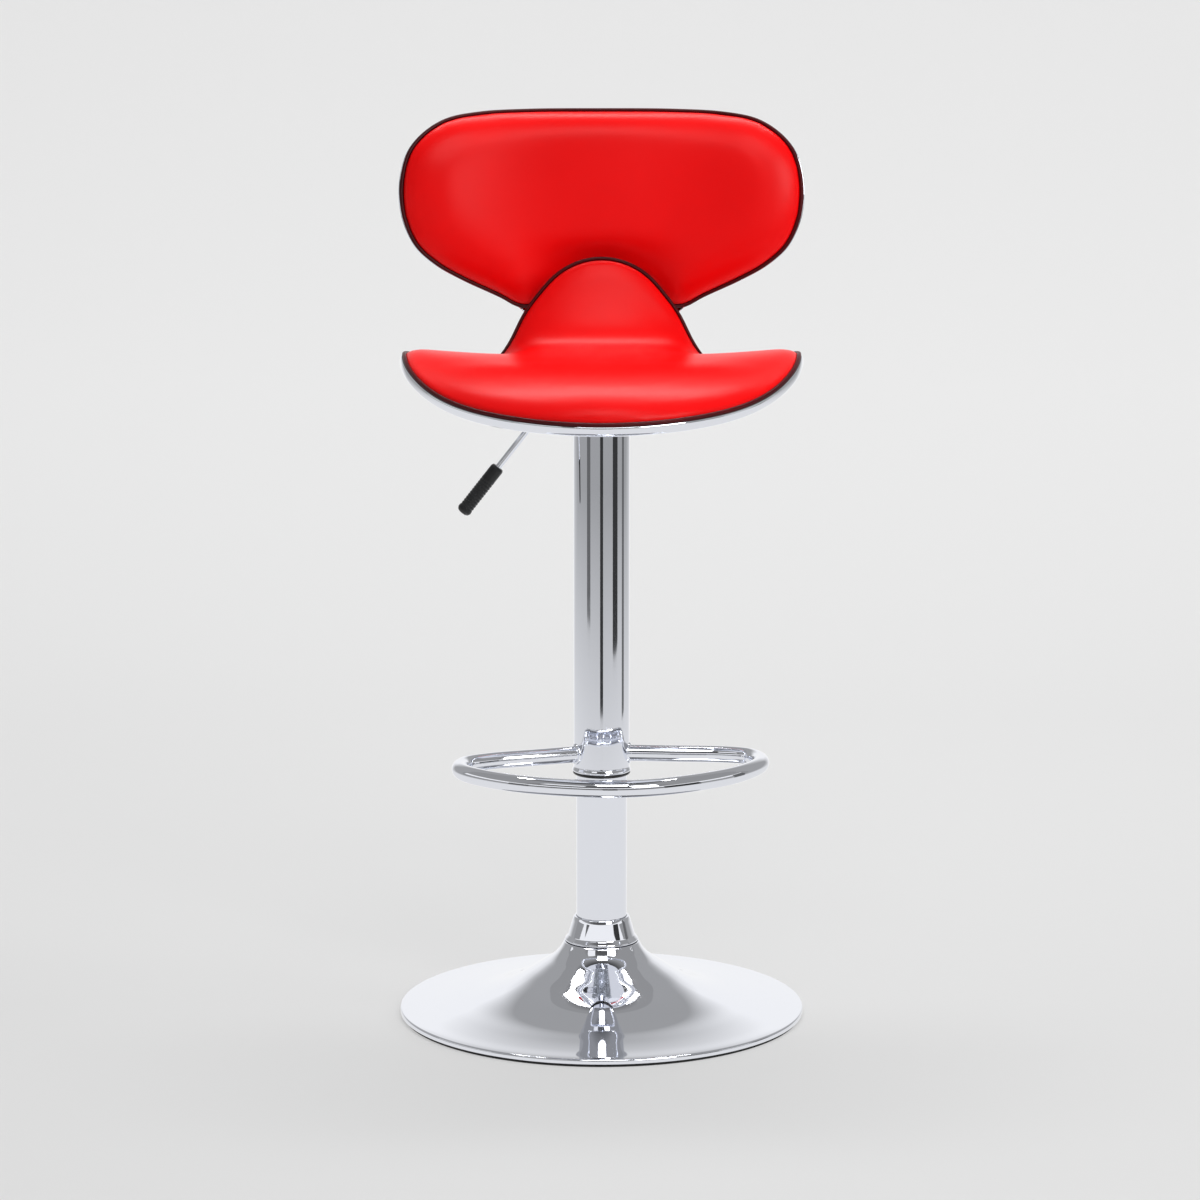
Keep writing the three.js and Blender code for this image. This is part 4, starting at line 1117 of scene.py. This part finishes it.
def evened(made, vectors, passes, shares):
    """Draws each point's vector towards the mean of its neighbours' by its share, as tension does."""
    ends = np.array([edge.vertices[:] for edge in made.data.edges])
    count = np.zeros(len(vectors))
    np.add.at(count, ends.ravel(), 1)
    vectors = np.array([vector[:] for vector in vectors])
    for _ in range(passes):
        around = np.zeros_like(vectors)
        np.add.at(around, ends[:, 0], vectors[ends[:, 1]])
        np.add.at(around, ends[:, 1], vectors[ends[:, 0]])
        vectors += (around / count[:, None] - vectors) * np.reshape(shares, (-1, 1)) / 2
    return [Vector(vector) for vector in vectors]


def inflated(made, floor):
    """Remeshes a flat pad and swells it as cloth, held where it is below the floor."""
    placed(made, Matrix.Scale(MM, 4))
    grid = made.modifiers.new("grid", "REMESH")
    grid.mode = "VOXEL"
    grid.voxel_size = VOXEL * MM
    applied(made)
    relaxed(made, GRID_SMOOTHING)
    before = [vertex.co.copy() for vertex in made.data.vertices]
    held = made.vertex_groups.new(name="held")
    held.add([i for i, place in enumerate(before) if place.z < floor * MM], 1.0, "REPLACE")
    cloth = made.modifiers.new("blow", "CLOTH")
    force = cloth.settings
    force.vertex_group_mass = "held"
    force.use_pressure = True
    force.uniform_pressure_force = PRESSURE
    force.effector_weights.gravity = 0
    cloth.point_cache.frame_end = FRAMES
    for number in range(1, FRAMES + 1):
        scene.frame_set(number)
    applied(made)
    scene.frame_set(1)
    swells = [vertex.co - place for vertex, place in zip(made.data.vertices, before)]
    swells = [swell * min(1.0, SWELLING * MM / max(swell.length, 1e-9)) for swell in swells]
    swells = evened(made, swells, EVENING, 1.0)
    for vertex, place, swell in zip(made.data.vertices, before, swells):
        vertex.co = place + swell
    relaxed(made, SETTLING)
    placed(made, Matrix.Scale(1 / MM, 4))
    return made


def spanned(place, edge, bend):
    """How freely a point of a cover may leave the foam to span the bend in the board, from 0 to 1."""
    depth = edge.find((place.x, place.y, 0))[2]
    inside = ease((depth - SPAN_CLEAR) / SPAN_BLEND)
    above = ease((place.z - RIM_TOP - SPAN_CLEAR) / SPAN_CLEAR)
    return inside * above * ease(2 - abs(place.y - bend) / SPAN_REACH)


def cover(name, panel, thickness, crown, shares, node, bend=None):
    edge = edge_of(panel)
    made = inflated(flat_pad(name, panel, edge, thickness, crown, shares), RIM_TOP + HELD_HEIGHT)
    seamed(made, edge)
    free = [spanned(vertex.co, edge, bend) for vertex in made.data.vertices] if bend else []
    panel.press(made.data)
    if free:
        places = evened(made, [vertex.co for vertex in made.data.vertices], SPAN_PASSES, free)
        for vertex, place in zip(made.data.vertices, places):
            vertex.co = place
    painted(made.data, leatherette)
    finer = made.modifiers.new("finer", "SUBSURF")
    finer.levels = finer.render_levels = 1
    finished(made, node, slot="red_leather", crease=COVER_CREASE)
    return made


# %% Cover of the seat
SEAT_PAD = 28.5
WING_THINNING = 0.35
TONGUE_THINNING = 0.52
THIN_START = 55.0
THIN_SPAN = 125.0
BEND_MIDDLE = BEND_START + BEND_RADIUS * TILT / 2
FRONT_CROWN = 72.0
TONGUE_CROWN = 48.0
CROWN_START = -60.0
CROWN_SPAN = 100.0
SEAT_UNDER = [0.05, 0.2, 0.4, 0.6, 0.8, 0.93]


def seat_thickness(x, q):
    wing = 1 - WING_THINNING * (x / SEAT_HALF) ** 2
    return SEAT_PAD * wing * (1 - TONGUE_THINNING * ease((q - THIN_START) / THIN_SPAN))


def seat_crown(x, q):
    return FRONT_CROWN + (TONGUE_CROWN - FRONT_CROWN) * ease((q - CROWN_START) / CROWN_SPAN)


seat_cover = cover("seat_cover", seat, seat_thickness, seat_crown, SEAT_UNDER, "seat_cushion", BEND_MIDDLE)
print("seat cover faces:", len(seat_cover.data.polygons))

# %% [markdown]
# The back is a second panel of the same kind behind the tongue. It curves round the sitter, and under the
# notch of its cover the chromed shell runs down as a neck, which four bolts join to the tongue.

# %% Back
BACK_HALF = 193.5
BACK_HEIGHT = 253.5
BACK_CURVE = 28.0
CURVE_SPAN = 154.0
SPACER_LENGTH = 18.0
BACK_DEPTH = 10.5
BACK_WALL = 1.3
BACK_PAD = 21.0
BACK_CROWN = 32.0
BACK_WIDENING = 34.0
BACK_THINNING = 0.45
BACK_THIN_DROP = 117.5
BACK_THIN_SPAN = 36.0
MIDDLE_DROP = 88.5
BACK_POINTS = 208
BACK_UNDER = [0.05, 0.25, 0.5, 0.75, 0.92]
BOLT_TIP_INSET = 27.7
ROW_SPACING = 28.0
BACK_BOLT_X = 24.0
NOTCH_CLEAR = 17.1
WING = [
    (0, 0), (0.362, 0.002), (0.61, 0.012), (0.775, 0.037), (0.886, 0.089), (0.959, 0.156), (0.995, 0.249),
    (1, 0.339), (0.979, 0.426), (0.922, 0.517), (0.824, 0.586), (0.69, 0.645), (0.514, 0.708), (0.413, 0.748),
]
NECK = [(0.389, 0.764), (0.326, 0.809), (0.274, 0.864), (0.212, 0.905), (0.103, 0.927), (0, 0.931)]
NOTCH = [(0.341, 0.01), (0.289, 0.32), (0.196, 0.77), (0, 1)]

tongue_foot = Vector((0, BEND_START + BEND_RADIUS * sin(TILT), BOARD_TOP + BEND_RADIUS * (1 - cos(TILT))))
tongue_up = Vector((0, cos(TILT), sin(TILT)))
tongue_behind = Vector((0, sin(TILT), -cos(TILT)))
back_offset = PAN_DEPTH + SPACER_LENGTH + 2 * GAP
back_foot = tongue_foot + tongue_behind * back_offset
back_top = BOARD_TOP + BACK_HEIGHT
top_row = TONGUE_REACH - BEND_START - BEND_RADIUS * TILT - BOLT_TIP_INSET
notch_height = (tongue_foot + tongue_up * top_row).z + NOTCH_CLEAR


def back_surface(x, z):
    side = max(0.0, abs(x) - FLAT_HALF) / CURVE_SPAN
    return Vector((x, back_foot.y + (z - back_foot.z) / tan(TILT) - BACK_CURVE * side ** 2, z))


def back_thickness(x, z):
    low = ease((back_top - BACK_THIN_DROP - z) / BACK_THIN_SPAN)
    middle = 1 - ease((abs(x) - FLAT_HALF) / (2 * HUG_SPAN))
    return BACK_PAD * (1 - BACK_THINNING * low * middle)


def back_crown(x, z):
    return BACK_CROWN + BACK_WIDENING * (x / BACK_HALF) ** 2


def from_top(shares):
    return [(out * BACK_HALF, back_top - down * BACK_HEIGHT) for out, down in shares]


corner_height = from_top(WING)[-1][1]
notch = [(out * BACK_HALF, corner_height + up * (notch_height - corner_height)) for out, up in NOTCH]
middle = (0, back_top - MIDDLE_DROP)
shell_panel = Panel(back_surface, (from_top(WING) + from_top(NECK))[::-1], middle, BACK_POINTS)
cover_panel = Panel(back_surface, (from_top(WING) + notch)[::-1], middle, BACK_POINTS)

back_shell = pan_skin("back_plate", shell_panel, BACK_DEPTH, BACK_WALL)
finished(back_shell, "back_shell")
finished(welt("back_welt", cover_panel), "back_piping", slot="dark_piping")
back_cover = cover("back_cover", cover_panel, back_thickness, back_crown, BACK_UNDER, "back_cushion")
print("back cover faces:", len(back_cover.data.polygons))

# %% [markdown]
# Every bolt is a button head with a hexagon socket. Each is turned and cut in its own frame, then laid where
# it belongs: four upright ones under the seat plate, and four tilted ones behind the back.

# %% Bolts and spacers
BOLT_RADIUS = 3.0
BOLT_TIP = -3.6
HEAD_RADIUS = 5.5
HEAD_HEIGHT = 4.0
HEAD_CHAMFER = 2.2
HEAD_ROUND = 1.6
SOCKET_HALF = 2.3
SOCKET_DEPTH = 2.4
SPACER_RADIUS = 6.0


def bolt(name, head_top, matrix, finish, slot, node):
    """A bolt whose head hangs down from the given height, laid in place by a matrix."""
    head = head_top - HEAD_HEIGHT
    button = rounded([
        (0, head), (HEAD_RADIUS - HEAD_CHAMFER, head), (HEAD_RADIUS, head + HEAD_CHAMFER),
        (HEAD_RADIUS, head_top),
    ], HEAD_ROUND)
    stem = [(BOLT_RADIUS, head_top), (BOLT_RADIUS, BOLT_TIP), (0, BOLT_TIP)]
    made = turned(name, button + stem, finish, SMALL_STEPS)
    bm = bmesh.new()
    half, depth = SOCKET_HALF * MM, 2 * SOCKET_DEPTH * MM
    bmesh.ops.create_cone(bm, cap_ends=True, segments=6, radius1=half, radius2=half, depth=depth)
    bmesh.ops.translate(bm, vec=(0, 0, head * MM), verts=bm.verts)
    combined(made, linked("hexagon", bm, finish), "DIFFERENCE")
    finished(placed(made, matrix), node, slot=slot)


seat_head = -PAN_DEPTH - PLATE_THICKNESS - 2 * GAP
corners = [(x, y) for x in (-PLATE_BOLT_X, PLATE_BOLT_X) for y in (-PLATE_BOLT_Y, PLATE_BOLT_Y)]
for number, (x, y) in enumerate(corners, 1):
    upright = Matrix.Translation(Vector((x, y, BOARD_TOP)) * MM)
    bolt(f"plate_bolt_{number}", seat_head, upright, zinc, "steel", f"seat_bolt_{number}")

back_head = -back_offset - BACK_DEPTH - GAP
spacer_low, spacer_high = RIM_TOP - back_offset + GAP, -PAN_DEPTH - GAP
spacer_line = sleeve(BOLT_RADIUS + GAP, SPACER_RADIUS, spacer_low, spacer_high)
rows = [(x, up) for up in (top_row - ROW_SPACING, top_row) for x in (-BACK_BOLT_X, BACK_BOLT_X)]
for number, (x, up) in enumerate(rows, 1):
    at = tongue_foot + tongue_up * up + Vector((x, 0, 0))
    tilted = Matrix.Translation(at * MM) @ Matrix.Rotation(TILT, 4, "X")
    bolt(f"shell_bolt_{number}", back_head, tilted, chrome, "chrome", f"back_bolt_{number}")
    spacer = turned(f"spacer_{number}", spacer_line, steps=SMALL_STEPS)
    softened(placed(spacer, tilted), TUBE_EDGE)
    finished(spacer, f"back_spacer_{number}")
print("bolts and spacers done")
